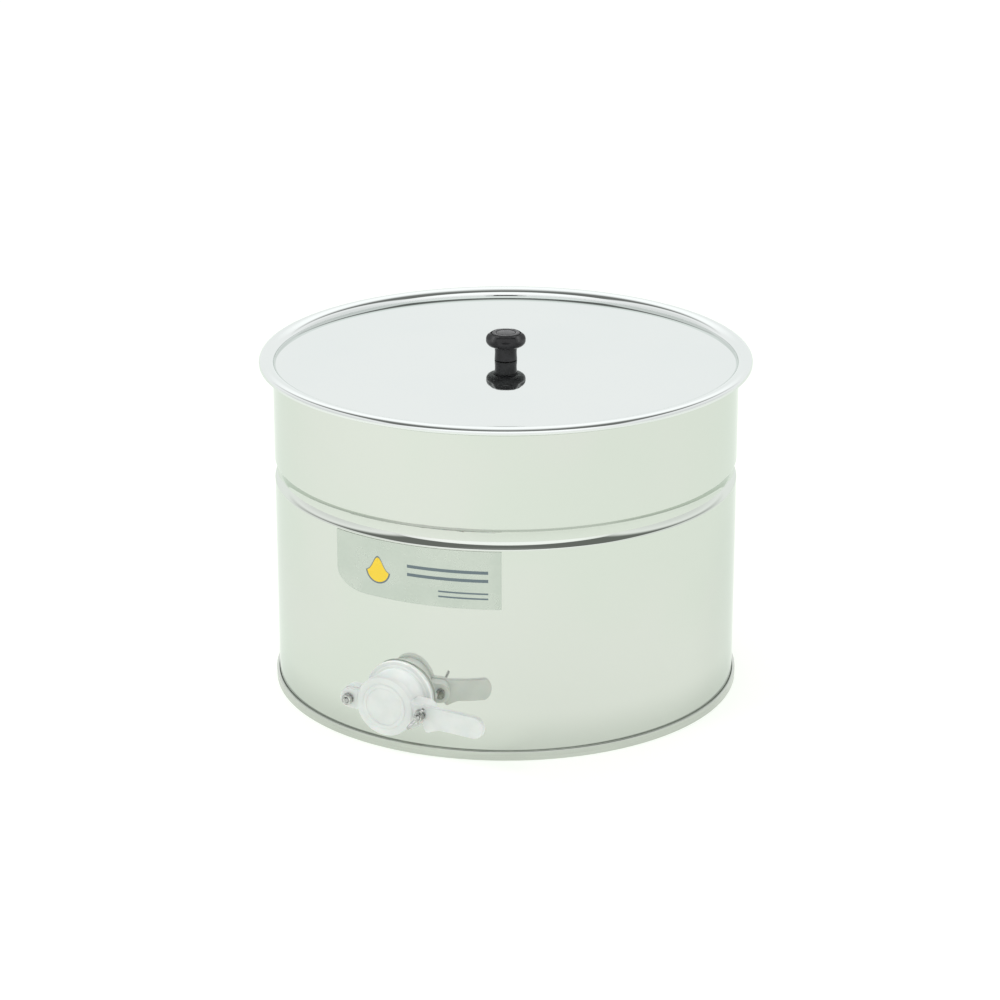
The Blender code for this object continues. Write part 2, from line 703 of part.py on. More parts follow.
def wing_nut(clamp_frame):
    outline = [
        (RUNNING_HOLE, NUT_SEAT),
        (WING_HUB_FOOT, NUT_SEAT),
        (WING_HUB_TOP, NUT_SEAT + WING_HUB_HEIGHT),
        (RUNNING_HOLE, NUT_SEAT + WING_HUB_HEIGHT),
    ]
    hub = turned(outline, BOLT_STEPS)
    nut = add_piece("wing_nut", hub, zinc_steel("wing_nut"), clamp_frame, (0, 0, 0), WING_TURN)
    for side in (-1, 1):
        wing = prism(wing_outline(), -WING_THICKNESS / 2, WING_THICKNESS / 2)
        for vert in wing.verts:
            outward, height, across = vert.co
            vert.co = (side * outward, side * -across, NUT_SEAT + height)
        bmesh.ops.recalc_face_normals(wing, faces=wing.faces)
        boolean(nut, "UNION", wing, clamp_frame, (0, 0, 0), WING_TURN)


def label_low_edge(angle):
    """The lower edge rises in a quarter curve towards the left end."""
    if angle >= LABEL_CORNER_END:
        return LABEL_LOW
    share = (LABEL_CORNER_END - angle) / (LABEL_CORNER_END - LABEL_LEFT)
    return LABEL_LOW + LABEL_CORNER_RISE * (1 - math.sqrt(1 - share**2))


def label():
    inside = DRUM_RADIUS + GAP
    outside = inside + LABEL_THICKNESS
    step = 2 * math.pi / ROUND_STEPS
    joints = [i * step for i in range(-4, 5) if LABEL_LEFT < i * step < LABEL_RIGHT]
    corner = spread(LABEL_LEFT, LABEL_CORNER_END, 5)[:-1]
    angles = sorted(set(corner + joints + [LABEL_RIGHT]))
    bm = bmesh.new()
    columns = []
    for angle in angles:
        low = label_low_edge(angle)
        column = []
        for radius, height in ((inside, low), (outside, low), (outside, LABEL_HIGH), (inside, LABEL_HIGH)):
            column.append(bm.verts.new((radius * math.sin(angle), -radius * math.cos(angle), height)))
        columns.append(column)
    for left, right in zip(columns, columns[1:]):
        for i in range(4):
            j = (i + 1) % 4
            bm.faces.new((left[i], left[j], right[j], right[i]))
    bm.faces.new(columns[0])
    bm.faces.new(columns[-1])
    bmesh.ops.recalc_face_normals(bm, faces=bm.faces)
    add_piece("label", bm, label_film("label"))


def build():
    clear_scene()
    gate_rotation = (math.pi / 2, -GATE_TILT, 0)
    gate_frame = make_empty("gate_frame", None, (0, 0, GATE_HEIGHT), gate_rotation)
    pivot_frame = make_empty("pivot_frame", gate_frame, (-BOLT_SPREAD, 0, 0))
    clamp_frame = make_empty("clamp_frame", gate_frame, (BOLT_SPREAD, 0, 0))
    knob_frame = make_empty("knob_frame", None, (0, 0, KNOB_FOOT))

    drum_shell(gate_frame)
    bottom_disc()
    label()

    lid_panel()
    lid_knob(knob_frame)
    knob_cap(knob_frame)
    knob_washer(knob_frame)
    knob_screw(knob_frame)

    strainer_band()
    strainer_screen()
    strainer_cross()
    strainer_handle("strainer_handle_left", -1)
    strainer_handle("strainer_handle_right", 1)

    gate_body(gate_frame)
    gate_outer_gasket(gate_frame)
    gate_inner_gasket(gate_frame)
    gate_lock_nut(gate_frame)
    gate_face_seal(gate_frame)
    gate_plate(pivot_frame)
    bolt("pivot_bolt", pivot_frame, PIVOT_BOLT_END)
    washer("pivot_washer", pivot_frame)
    pivot_nut(pivot_frame)
    bolt("clamp_bolt", clamp_frame, CLAMP_BOLT_END)
    washer("clamp_washer", clamp_frame)
    wing_nut(clamp_frame)


build()
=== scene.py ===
"""The finished look of a lidded stainless honey-straining tank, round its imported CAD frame.

Every piece stands for one CAD node. Its place comes from the CAD's boxes and joints where they
give it, and otherwise from the sizes below. Lengths are metres. Gate pieces are shaped in the
gate's own frame: x right, y up, z outward.
"""

import json
import math

import bmesh
import bpy
from mathutils import Euler, Matrix, Vector


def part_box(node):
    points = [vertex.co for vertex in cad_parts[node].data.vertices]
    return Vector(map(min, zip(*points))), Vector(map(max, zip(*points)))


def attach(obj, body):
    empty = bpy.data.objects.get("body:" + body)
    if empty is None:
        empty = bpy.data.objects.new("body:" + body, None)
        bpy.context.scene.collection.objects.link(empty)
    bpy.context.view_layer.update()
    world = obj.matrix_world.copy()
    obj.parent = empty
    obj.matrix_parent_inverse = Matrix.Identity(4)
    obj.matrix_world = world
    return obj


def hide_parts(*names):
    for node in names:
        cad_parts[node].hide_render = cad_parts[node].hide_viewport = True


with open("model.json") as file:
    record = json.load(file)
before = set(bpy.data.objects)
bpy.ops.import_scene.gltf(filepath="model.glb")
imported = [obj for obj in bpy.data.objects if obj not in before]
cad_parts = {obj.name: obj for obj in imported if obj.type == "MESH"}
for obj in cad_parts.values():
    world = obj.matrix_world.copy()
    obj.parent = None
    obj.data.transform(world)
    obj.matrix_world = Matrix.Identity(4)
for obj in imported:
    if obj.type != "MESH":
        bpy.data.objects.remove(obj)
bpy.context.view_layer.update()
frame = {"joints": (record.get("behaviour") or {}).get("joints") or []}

# Resolution
ROUND_STEPS = 360
GATE_STEPS = 128
SMALL_STEPS = 72
GUARD = 0.0005
SHARP = math.radians(38)
GAP = 0.0003

# Drum, rim and base
SHEET = 0.001
DRUM_RADIUS = 0.250
WALL_MID = DRUM_RADIUS - SHEET / 2
WALL_FOOT = 0.0015
BEAD_LOW = 0.2312
BEAD_HIGH = 0.2552
BEAD_DEPTH = 0.006
BEAD_BOTTOM = 0.2384
BEAD_EDGE_RADIUS = 0.0020
BEAD_HOLLOW = 0.00045
FLARE_START = 0.3560
RIM_HALF_WIDTH = 0.0070
RIM_HALF_HEIGHT = 0.0042
CURL_HALF_WIDTH = 0.0055
CURL_TOP_HALF_HEIGHT = 0.0027
CURL_END = math.radians(-135)
SKIRT_END = 0.3592
HEM_HEIGHT = 0.0102
HEM_ROUND = 0.0011
FLOOR_THICKNESS = 0.0012
WALL_HOLE = 0.0243

# Label: angles from the gate, sizes on the drum, and print as shares of the width and heights
LABEL_LEFT = math.radians(-18.4)
LABEL_BEND = math.radians(-9.6)
LABEL_RIGHT = math.radians(24.9)
LABEL_RISE = 0.021
LABEL_THICKNESS = 0.0003
DROP_PLACE = 0.29
DROP_HEIGHT = 0.0300
DROP_RADIUS = 0.0150
DROP_INSIDE = 0.0133
# Each rule's place, height, half length and half thickness
LABEL_RULES = (
    (0.70, 0.0400, 0.0430, 0.0017),
    (0.70, 0.0310, 0.0430, 0.0017),
    (0.79, 0.0170, 0.0260, 0.0009),
    (0.79, 0.0115, 0.0260, 0.0009),
)

# Lid and knob
PANEL_MID = 0.3570
PANEL_ROUND = 0.0005
ROLL_WIDTH = 0.0100
ROLL_DROP = 0.0050
SCREW_HOLE = 0.0034
KNOB_SOCKET = 0.0033
KNOB_SOCKET_DEPTH = 0.0140
KNOB_STEM = 0.0122
KNOB_WAIST = 0.0117
KNOB_WAIST_HEIGHT = 0.0075
KNOB_NECK_HEIGHT = 0.0144
KNOB_NECK_BEAD = 0.0006
KNOB_HEAD = 0.0213
KNOB_BELLY = 0.0146
KNOB_BELLY_HEIGHT = 0.0212
KNOB_BELLY_DROP = 0.0060
KNOB_CROWN_HEIGHT = 0.0226
KNOB_HEIGHT = 0.0300
KNOB_GROOVE = 0.0022
KNOB_SCALLOP = 0.0029
SCALLOP_FOOT = 0.0208
SCALLOP_RISE = 0.0038
SCALLOP_FALL = 0.0028
KNOB_LOBES = 6
KNOB_TURN = math.radians(-64.2)
KNOB_CAP = 0.0103
KNOB_RING = 0.0163
KNOB_WASHER = 0.0090
KNOB_BOLT_HEAD = 0.0052
KNOB_BOLT_HEAD_HEIGHT = 0.0031
KNOB_BOLT_SOCKET = 0.0026
KNOB_BOLT_SOCKET_DEPTH = 0.0018

# Strainer
BAND_RADIUS = 0.2465
BAND_FLANGE = 0.0100
ROD_RADIUS = 0.0025
ROD_BEND = 0.010
STAY_HALF = 0.0015
SIEVE_PITCH = 0.0026
SIEVE_HOLE = 0.00085

# Gate
BORE = 0.0185
TAIL_RADIUS = 0.0238
TAIL_END = 0.2300
FLANGE_RADIUS = 0.0380
FLANGE_BACK = 0.2515
FLANGE_FRONT = 0.2550
NECK_RADIUS = 0.0300
SEAT = 0.2797
SEAL_INSIDE = 0.0212
SEAL_OUTSIDE = 0.0262
SEAL_DEPTH = 0.0020
EAR_BACK = 0.2667
EAR_RADIUS = 0.0112
EAR_ROOT = 0.0265
BOLT_SPREAD = 0.0418
PLATE_BACK = SEAT + GAP
PLATE_FRONT = 0.2870
ARM_FRONT = 0.2860
PLATE_RADIUS = 0.0325
RIB_INSIDE = 0.0203
RIB_OUTSIDE = 0.0241
RIB_HEIGHT = 0.0012
HANDLE_ROOT = 0.0872
HANDLE_END = 0.1548
HANDLE_HALF = 0.0118
HANDLE_DROP = 0.0015
PIVOT_ARM_HALF = 0.0105
CLAMP_ARM_HALF = 0.0120
SLOT_HALF = 0.0034
SLOT_SWEEP = math.radians(20)
FIXED_HOLE = 0.0033
RUNNING_HOLE = 0.0031

# Gaskets and lock nut
GASKET_INSIDE = 0.0250
OUTER_GASKET = 0.0374
INNER_GASKET = 0.0330
INNER_GASKET_BACK = 0.2425
GASKET_SPAN = (0.03, 0.12)
LOCK_NUT = 0.0345
LOCK_NUT_BACK = 0.2322
LOCK_NUT_FRONT = 0.2422
LOCK_NUT_LOBES = 8
LOCK_NUT_LOBE = 0.0030

# Bolts, nuts and washers
BOLT_RADIUS = 0.0030
BOLT_HEAD = 0.0058
BOLT_HEAD_HEIGHT = 0.0042
PIVOT_BOLT_END = 0.2944
CLAMP_BOLT_END = 0.2972
THREAD_PITCH = 0.0010
WASHER_OUTSIDE = 0.0062
WASHER_INSIDE = 0.0033
WASHER_THICKNESS = 0.0010
HEX_HALF = 0.0050
HEX_HEIGHT = 0.0050
HUB_HEIGHT = 0.0070
WING_HALF = 0.0015
WING_TIP = (0.0130, 0.0100)
WING_TIP_RADIUS = 0.0030
WING_TURN = math.radians(56)

# Camera, measured from the tank's axis and the floor
CAMERA_AZIMUTH = math.radians(25.86)
CAMERA_DISTANCE = 3.3015
CAMERA_HEIGHT = 1.3717
CAMERA_PITCH = 0.3418
CAMERA_LENS = 115.68
CAMERA_SHIFT = -0.00583

# Tones of the steel, linear
WALL_TINT = (0.640, 0.672, 0.622)
WALL_WARM = (0.655, 0.672, 0.634)
LID_TINT = (0.722, 0.742, 0.732)
LID_WARM = (0.733, 0.749, 0.738)
BASE_TINT = (0.560, 0.585, 0.540)
STEEL_EDGE = (0.88, 0.905, 0.89, 1.0)
# Painted shade: the wall's steel darkened towards the floor, standing for the contact shadow that its foot
# reflects
FOOT_PAINTED_SHADE = 0.83
FOOT_SHADE_FADE = (0.004, 0.056)

# Floor
FLOOR_TONE = (0.44, 0.46, 0.43)
FLOOR_GLOW = (1.0, 1.03, 0.98)
FLOOR_GLOW_STRENGTH = 0.68

# What the steel reflects: bright walls, a brighter box above, a dark patch overhead, grey flanks
WALLS_TONE = (1.13, 1.14, 1.15)
BOX_TONE = (1.34, 1.36, 1.37)
ROOM_TONE = (0.195, 0.205, 0.195)
FLANK_TONE = (0.93, 0.95, 0.95)
LIFT_ABOVE = (0.32, 0.60)
LIFT_BEFORE = (0.05, 0.50)
LIFT_NEAR = (0.29, 0.38)
LIFT_SIDE = (0.45, 0.80)
DARK_START = (math.radians(54), math.radians(58))
DARK_END = (math.radians(72), math.radians(118))
DARK_SIDE = (0.61, 0.75)
DARK_BEND = 2.0
FLANK_SIDE = (0.72, 0.96)

# Lamps
FILL_PLACE = (-1.0, -2.2, 2.4)
FILL_TARGET = (0, 0, 0.15)
FILL_SIZE = 0.9
FILL_POWER = 15
BOUNCE_POWER = 0.023
LID_BOUNCE_POWER = 0.03
BOUNCE_OUT = -0.2520


# ---------------------------------------------------------------- shapes

def arc(centre, half_width, half_height, start, end, steps):
    """Points on an ellipse between two angles in radians, both ends included."""
    points = []
    for i in range(steps + 1):
        a = start + (end - start) * i / steps
        points.append((centre[0] + half_width * math.cos(a), centre[1] + half_height * math.sin(a)))
    return points


def rounded(corners, steps=6):
    """A polyline through corners of (x, y) or (x, y, radius), the latter rounded off."""
    path = []
    for i, corner in enumerate(corners):
        here = Vector(corner[:2])
        if len(corner) == 2:
            path.append(tuple(here))
            continue
        before = (Vector(corners[i - 1][:2]) - here).normalized()
        after = (Vector(corners[(i + 1) % len(corners)][:2]) - here).normalized()
        half = before.angle(after) / 2
        centre = here + (before + after).normalized() * corner[2] / math.sin(half)
        first = here + before * corner[2] / math.tan(half) - centre
        last = here + after * corner[2] / math.tan(half) - centre
        sweep = first.angle_signed(last)
        for k in range(steps + 1):
            turn = Matrix.Rotation(-sweep * k / steps, 2)
            path.append(tuple(centre + turn @ first))
    return path


def guarded(path, longest=1.0, closed=False):
    """The path with extra points beside its corners, so that flat stretches shade flat."""
    ends = path[1:] + path[:1] if closed else path[1:]
    result = []
    for start, end in zip(path, ends):
        a, b = Vector(start), Vector(end)
        length = (b - a).length
        result.append(tuple(a))
        if length > 4 * GUARD:
            result.append(tuple(a.lerp(b, GUARD / length)))
            count = int(length / longest)
            result += [tuple(a.lerp(b, (k + 1) / (count + 1))) for k in range(count)]
            result.append(tuple(b.lerp(a, GUARD / length)))
    if not closed:
        result.append(tuple(path[-1]))
    return result


def sheet_section(path, thickness=SHEET):
    """The closed outline of a bent sheet whose middle follows path."""
    points = [Vector(p) for p in path]
    runs = [(end - start).normalized() for start, end in zip(points, points[1:])]
    near, far = [], []
    for i, point in enumerate(points):
        out = runs[min(i, len(runs) - 1)]
        ahead = (runs[max(i - 1, 0)] + out).normalized()
        side = Vector((ahead.y, -ahead.x)) * thickness / 2 / ahead.dot(out)
        near.append(tuple(point + side))
        far.append(tuple(point - side))
    return near + far[::-1]


def turned(outline, steps=ROUND_STEPS, reshape=None):
    """The solid that a closed outline of (radius, height) sweeps about Z.

    An outline that starts and ends on the axis is closed there. reshape(angle, radius, height)
    gives a point's new radius.
    """
    bm = bmesh.new()
    rings = []
    for radius, height in outline:
        if radius == 0:
            rings.append([bm.verts.new((0, 0, height))])
            continue
        ring = []
        for i in range(steps):
            a = 2 * math.pi * i / steps
            r = reshape(a, radius, height) if reshape else radius
            ring.append(bm.verts.new((r * math.cos(a), r * math.sin(a), height)))
        rings.append(ring)
    pairs = list(zip(rings, rings[1:]))
    if outline[0][0] != 0:
        pairs.append((rings[-1], rings[0]))
    for low, high in pairs:
        for i in range(steps):
            j = (i + 1) % steps
            if len(low) == 1:
                bm.faces.new((low[0], high[j], high[i]))
            elif len(high) == 1:
                bm.faces.new((low[i], low[j], high[0]))
            else:
                bm.faces.new((low[i], low[j], high[j], high[i]))
    bmesh.ops.recalc_face_normals(bm, faces=bm.faces)
    return bm


def prism(outline, low, high):
    bm = bmesh.new()
    face = bm.faces.new([bm.verts.new((x, y, low)) for x, y in outline])
    swept = bmesh.ops.extrude_face_region(bm, geom=[face])
    top = [item for item in swept["geom"] if isinstance(item, bmesh.types.BMVert)]
    bmesh.ops.translate(bm, verts=top, vec=(0, 0, high - low))
    bmesh.ops.recalc_face_normals(bm, faces=bm.faces)
    return bm


def tongue(start_x, end_x, y, half_width, steps=32):
    """A strip along X, square at start_x and half-round about a centre at end_x."""
    quarter = math.pi / 2
    end = arc((end_x, y), half_width, half_width, -quarter, quarter, steps)
    return end + [(start_x, y + half_width), (start_x, y - half_width)]


def joined(parts):
    """One bmesh holding every bmesh in parts."""
    whole = bmesh.new()
    for part in parts:
        mesh = bpy.data.meshes.new("part")
        part.to_mesh(mesh)
        part.free()
        whole.from_mesh(mesh)
        bpy.data.meshes.remove(mesh)
    return whole


def solid(name, bm, matrix=Matrix.Identity(4)):
    mesh = bpy.data.meshes.new(name)
    bm.to_mesh(mesh)
    bm.free()
    obj = bpy.data.objects.new(name, mesh)
    bpy.context.scene.collection.objects.link(obj)
    obj.matrix_world = matrix
    return obj


def bake_modifiers(obj):
    bpy.context.view_layer.update()
    evaluated = obj.evaluated_get(bpy.context.evaluated_depsgraph_get())
    mesh = bpy.data.meshes.new_from_object(evaluated)
    obj.modifiers.clear()
    obj.data = mesh


def cut(obj, bm, matrix=None):
    """Cuts the shape bm, placed by matrix, out of obj."""
    tool = solid("tool", bm, obj.matrix_world if matrix is None else matrix)
    modifier = obj.modifiers.new("cut", "BOOLEAN")
    modifier.operation = "DIFFERENCE"
    modifier.solver = "EXACT"
    modifier.object = tool
    bake_modifiers(obj)
    bpy.data.objects.remove(tool)


def moulded(obj, voxel, smoothing):
    """Melts overlapping shells into one body with soft moulded edges."""
    remesh = obj.modifiers.new("melt", "REMESH")
    remesh.mode = "VOXEL"
    remesh.voxel_size = voxel
    smooth = obj.modifiers.new("soften", "SMOOTH")
    smooth.factor = 0.5
    smooth.iterations = smoothing
    bake_modifiers(obj)


def finish_piece(obj, material, body, stands_for, sharp=SHARP):
    obj.data.shade_smooth()
    obj.data.set_sharp_from_angle(angle=sharp)
    obj.data.materials.clear()
    obj.data.materials.append(material)
    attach(obj, body)
    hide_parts(stands_for)
    return obj


# ---------------------------------------------------------------- materials

class Tree:
    """Short names for wiring a node tree."""

    def __init__(self, tree):
        self.tree = tree

    def node(self, kind, *inputs, **settings):
        made = self.tree.nodes.new(kind)
        for key, value in settings.items():
            setattr(made, key, value)
        for key, value in inputs:
            self.feed(made.inputs[key], value)
        return made

    def feed(self, socket, value):
        if isinstance(value, bpy.types.NodeSocket):
            self.tree.links.new(value, socket)
        else:
            socket.default_value = value

    def math(self, operation, *values):
        made = self.node("ShaderNodeMath", operation=operation)
        for socket, value in zip(made.inputs, values):
            self.feed(socket, value)
        return made.outputs[0]

    def length(self, x, y):
        """The length of the vector (x, y)."""
        squares = self.math("MULTIPLY", x, x), self.math("MULTIPLY", y, y)
        return self.math("SQRT", self.math("ADD", *squares))

    def ramp(self, value, low, high, start=0.0, end=1.0, kind="SMOOTHSTEP"):
        """start below low, end above high, smooth between."""
        made = self.node(
            "ShaderNodeMapRange",
            ("Value", value), ("From Min", low), ("From Max", high),
            ("To Min", start), ("To Max", end),
            interpolation_type=kind,
        )
        return made.outputs[0]

    def noise(self, vector, scale, detail=2.0, roughness=0.5):
        made = self.node(
            "ShaderNodeTexNoise",
            ("Vector", vector), ("Scale", scale), ("Detail", detail), ("Roughness", roughness),
        )
        return made.outputs[0]

    def blend(self, factor, first, second):
        """Colour first at factor 0, second at factor 1."""
        made = self.node("ShaderNodeMix", data_type="RGBA")
        self.feed(made.inputs["Factor"], factor)
        colours = [s for s in made.inputs if s.type == "RGBA"]
        for socket, colour in zip(colours, (first, second)):
            self.feed(socket, colour if isinstance(colour, bpy.types.NodeSocket) else (*colour, 1))
        return [s for s in made.outputs if s.type == "RGBA"][0]

    def bump(self, height, distance, normal=None):
        made = self.node("ShaderNodeBump", ("Height", height), ("Distance", distance))
        if normal:
            self.feed(made.inputs["Normal"], normal)
        return made.outputs[0]


def new_material(name):
    material = bpy.data.materials.new(name)
    material.use_nodes = True
    tree = Tree(material.node_tree)
    shader = material.node_tree.nodes["Principled BSDF"]
    where = tree.node("ShaderNodeTexCoord").outputs["Object"]
    return material, tree, shader, where


def around_axis(tree, where, turns, rows):
    """Coordinates that run round Z and along it, stretched so that noise draws hoops."""
    x, y, z = tree.node("ShaderNodeSeparateXYZ", ("Vector", where)).outputs
    radius = tree.length(x, y)
    angle = tree.math("ARCTAN2", y, x)
    made = tree.node("ShaderNodeCombineXYZ")
    tree.feed(made.inputs[0], tree.math("MULTIPLY", angle, turns))
    tree.feed(made.inputs[1], tree.math("MULTIPLY", radius, rows))
    tree.feed(made.inputs[2], tree.math("MULTIPLY", z, rows))
    return made.outputs[0]


def mirror_steel(name, tint, warm_tint):
    """Bright rolled stainless: a mirror with faint clouding, smudges and rolling waves.

    The lowest few centimetres are tinted darker, as the wall's foot is in the photo: painted shade,
    standing for the floor's contact shadow reflected in the wall's foot.
    """
    material, tree, shader, where = new_material(name)
    cloud = tree.ramp(tree.noise(where, 6.0, 2.0), 0.38, 0.62)
    height = tree.node("ShaderNodeSeparateXYZ", ("Vector", where)).outputs[2]
    clean = tree.blend(cloud, tint, warm_tint)
    # painted shade: the steel's tone darkened near the floor, for the reflected contact shadow
    foot = tuple(channel * FOOT_PAINTED_SHADE for channel in tint)
    tree.feed(shader.inputs["Base Color"], tree.blend(tree.ramp(height, *FOOT_SHADE_FADE), foot, clean))
    shader.inputs["Metallic"].default_value = 1.0
    shader.inputs["Specular Tint"].default_value = STEEL_EDGE
    smudge = tree.noise(where, 28.0, 5.0, 0.62)
    tree.feed(shader.inputs["Roughness"], tree.ramp(smudge, 0.42, 0.72, 0.030, 0.075))
    waves = tree.noise(where, 7.0, 1.0)
    hoops = tree.noise(around_axis(tree, where, 2.0, 160.0), 3.0, 2.0)
    rolled = tree.bump(waves, 0.00030)
    tree.feed(shader.inputs["Normal"], tree.bump(hoops, 0.0000012, rolled))
    return material


def satin_steel(name, tint=(0.60, 0.61, 0.585)):
    """Stainless with the fine hoops that turning and wiping leave."""
    material, tree, shader, where = new_material(name)
    hoops = tree.noise(around_axis(tree, where, 1.5, 900.0), 2.0, 3.0)
    cloud = tree.noise(where, 14.0, 3.0)
    darker = tuple(c * 0.90 for c in tint)
    tree.feed(shader.inputs["Base Color"], tree.blend(tree.ramp(hoops, 0.3, 0.7), darker, tint))
    shader.inputs["Metallic"].default_value = 1.0
    tree.feed(shader.inputs["Roughness"], tree.ramp(cloud, 0.35, 0.68, 0.17, 0.27))
    shader.inputs["Anisotropic"].default_value = 0.4
    tree.feed(shader.inputs["Normal"], tree.bump(hoops, 0.000004))
    return material


def zinc_steel(name):
    """Bright zinc plating: slightly mottled, with soft plating grain."""
    material, tree, shader, where = new_material(name)
    mottle = tree.noise(where, 420.0, 4.0, 0.6)
    tone = tree.blend(tree.ramp(mottle, 0.35, 0.7), (0.36, 0.365, 0.36), (0.66, 0.66, 0.64))
    tree.feed(shader.inputs["Base Color"], tone)
    shader.inputs["Metallic"].default_value = 1.0
    tree.feed(shader.inputs["Roughness"], tree.ramp(mottle, 0.3, 0.75, 0.10, 0.24))
    tree.feed(shader.inputs["Normal"], tree.bump(tree.noise(where, 1500.0, 2.0), 0.00001))
    return material


def white_plastic(name):
    """Moulded food-grade plastic: milky, with a soft sheen and faint flow marks."""
    material, tree, shader, where = new_material(name)
    flow = tree.noise(where, 55.0, 3.0)
    tone = tree.blend(tree.ramp(flow, 0.35, 0.65), (0.625, 0.65, 0.63), (0.665, 0.685, 0.665))
    tree.feed(shader.inputs["Base Color"], tone)
    tree.feed(shader.inputs["Roughness"], tree.ramp(flow, 0.3, 0.7, 0.34, 0.46))
    shader.inputs["Subsurface Weight"].default_value = 0.15
    shader.inputs["Subsurface Scale"].default_value = 0.003
    shader.inputs["Specular IOR Level"].default_value = 0.45
    grain = tree.noise(where, 1400.0, 2.0)
    sink = tree.bump(flow, 0.00010)
    tree.feed(shader.inputs["Normal"], tree.bump(grain, 0.000008, sink))
    return material


def black_plastic(name):
    """Moulded black plastic with a fine spark-eroded grain and a rubbed soft gloss."""
    material, tree, shader, where = new_material(name)
    rub = tree.noise(where, 130.0, 3.0)
    tone = tree.blend(tree.ramp(rub, 0.35, 0.7), (0.010, 0.0097, 0.0110), (0.018, 0.018, 0.0195))
    tree.feed(shader.inputs["Base Color"], tone)
    tree.feed(shader.inputs["Roughness"], tree.ramp(rub, 0.3, 0.7, 0.22, 0.36))
    shader.inputs["Specular IOR Level"].default_value = 0.32
    grain = tree.noise(where, 2600.0, 2.0)
    tree.feed(shader.inputs["Normal"], tree.bump(grain, 0.000012))
    return material


def milky_rubber(name):
    material, tree, shader, where = new_material(name)
    cloud = tree.noise(where, 90.0, 3.0)
    tone = tree.blend(tree.ramp(cloud, 0.3, 0.7), (0.60, 0.62, 0.59), (0.70, 0.72, 0.69))
    tree.feed(shader.inputs["Base Color"], tone)
    tree.feed(shader.inputs["Roughness"], tree.ramp(cloud, 0.3, 0.7, 0.50, 0.64))
    shader.inputs["Subsurface Weight"].default_value = 0.2
    shader.inputs["Subsurface Scale"].default_value = 0.002
    tree.feed(shader.inputs["Normal"], tree.bump(tree.noise(where, 1100.0, 2.0), 0.00001))
    return material


def sieve_steel(name):
    """Stainless sieve plate: staggered fine holes, drawn as transparency."""
    material, tree, shader, where = new_material(name)
    x, y = tree.node("ShaderNodeSeparateXYZ", ("Vector", where)).outputs[:2]
    row_height = SIEVE_PITCH * math.sqrt(3) / 2
    row = tree.math("DIVIDE", y, row_height)
    row_index = tree.math("ROUND", row)
    odd = tree.math("PINGPONG", row_index, 1.0)
    column = tree.math("ADD", tree.math("DIVIDE", x, SIEVE_PITCH), tree.math("MULTIPLY", odd, 0.5))
    from_column = tree.math("SUBTRACT", column, tree.math("ROUND", column))
    across = tree.math("MULTIPLY", from_column, SIEVE_PITCH)
    along = tree.math("MULTIPLY", tree.math("SUBTRACT", row, row_index), row_height)
    away = tree.length(across, along)
    tree.feed(shader.inputs["Alpha"], tree.ramp(away, SIEVE_HOLE * 0.94, SIEVE_HOLE * 1.06))
    cloud = tree.noise(where, 16.0, 3.0)
    tone = tree.blend(tree.ramp(cloud, 0.35, 0.65), (0.54, 0.55, 0.53), (0.62, 0.63, 0.61))
    tree.feed(shader.inputs["Base Color"], tone)
    shader.inputs["Metallic"].default_value = 1.0
    tree.feed(shader.inputs["Roughness"], tree.ramp(cloud, 0.35, 0.68, 0.22, 0.32))
    lip = tree.ramp(away, SIEVE_HOLE, SIEVE_HOLE * 1.6)
    tree.feed(shader.inputs["Normal"], tree.bump(lip, 0.00008))
    return material


def label_film(name, low):
    """A clear sticker with a honey drop and plain rules on it, its foot at height low."""
    material, tree, shader, where = new_material(name)
    x, y, z = tree.node("ShaderNodeSeparateXYZ", ("Vector", where)).outputs
    angle = tree.math("ARCTAN2", x, tree.math("MULTIPLY", y, -1.0))
    u = tree.math("MULTIPLY", tree.math("SUBTRACT", angle, LABEL_LEFT), DRUM_RADIUS)
    v = tree.math("SUBTRACT", z, low)
    width = (LABEL_RIGHT - LABEL_LEFT) * DRUM_RADIUS
    ink = (0.115, 0.15, 0.17)
    honey = (0.80, 0.56, 0.03)

    def bar(centre_u, centre_v, half_u, half_v):
        inside_u = tree.math("COMPARE", u, centre_u, half_u)
        return tree.math("MULTIPLY", inside_u, tree.math("COMPARE", v, centre_v, half_v))

    rules = 0.0
    for place, middle, half_length, half_thickness in LABEL_RULES:
        rule = bar(width * place, middle, half_length, half_thickness)
        rules = tree.math("MAXIMUM", rules, rule)
    du = tree.math("SUBTRACT", u, width * DROP_PLACE)
    dv = tree.math("SUBTRACT", v, DROP_HEIGHT)
    narrowing = tree.ramp(dv, -0.002, 0.0200, 1.0, 9.0, "LINEAR")
    spread = tree.math("MULTIPLY", tree.math("MULTIPLY", du, du), narrowing)
    reach = tree.math("SQRT", tree.math("ADD", spread, tree.math("MULTIPLY", dv, dv)))
    drop = tree.math("LESS_THAN", reach, DROP_RADIUS)
    rim = tree.math("MULTIPLY", drop, tree.math("GREATER_THAN", reach, DROP_INSIDE))
    film = tree.blend(tree.ramp(tree.noise(where, 30.0, 3.0), 0.35, 0.65),
                      (0.50, 0.545, 0.49), (0.535, 0.575, 0.52))
    tone = tree.blend(rules, film, ink)
    tone = tree.blend(drop, tone, honey)
    tone = tree.blend(rim, tone, ink)
    tree.feed(shader.inputs["Base Color"], tone)
    printed = tree.math("MAXIMUM", rules, drop)
    tree.feed(shader.inputs["Metallic"], tree.ramp(printed, 0.0, 1.0, 0.55, 0.0))
    tree.feed(shader.inputs["Roughness"], tree.ramp(tree.noise(where, 60.0, 4.0), 0.3, 0.7, 0.16, 0.30))
    tree.feed(shader.inputs["Normal"], tree.bump(tree.noise(where, 45.0, 2.0), 0.00006))
    return material


# ---------------------------------------------------------------- the gate's frame

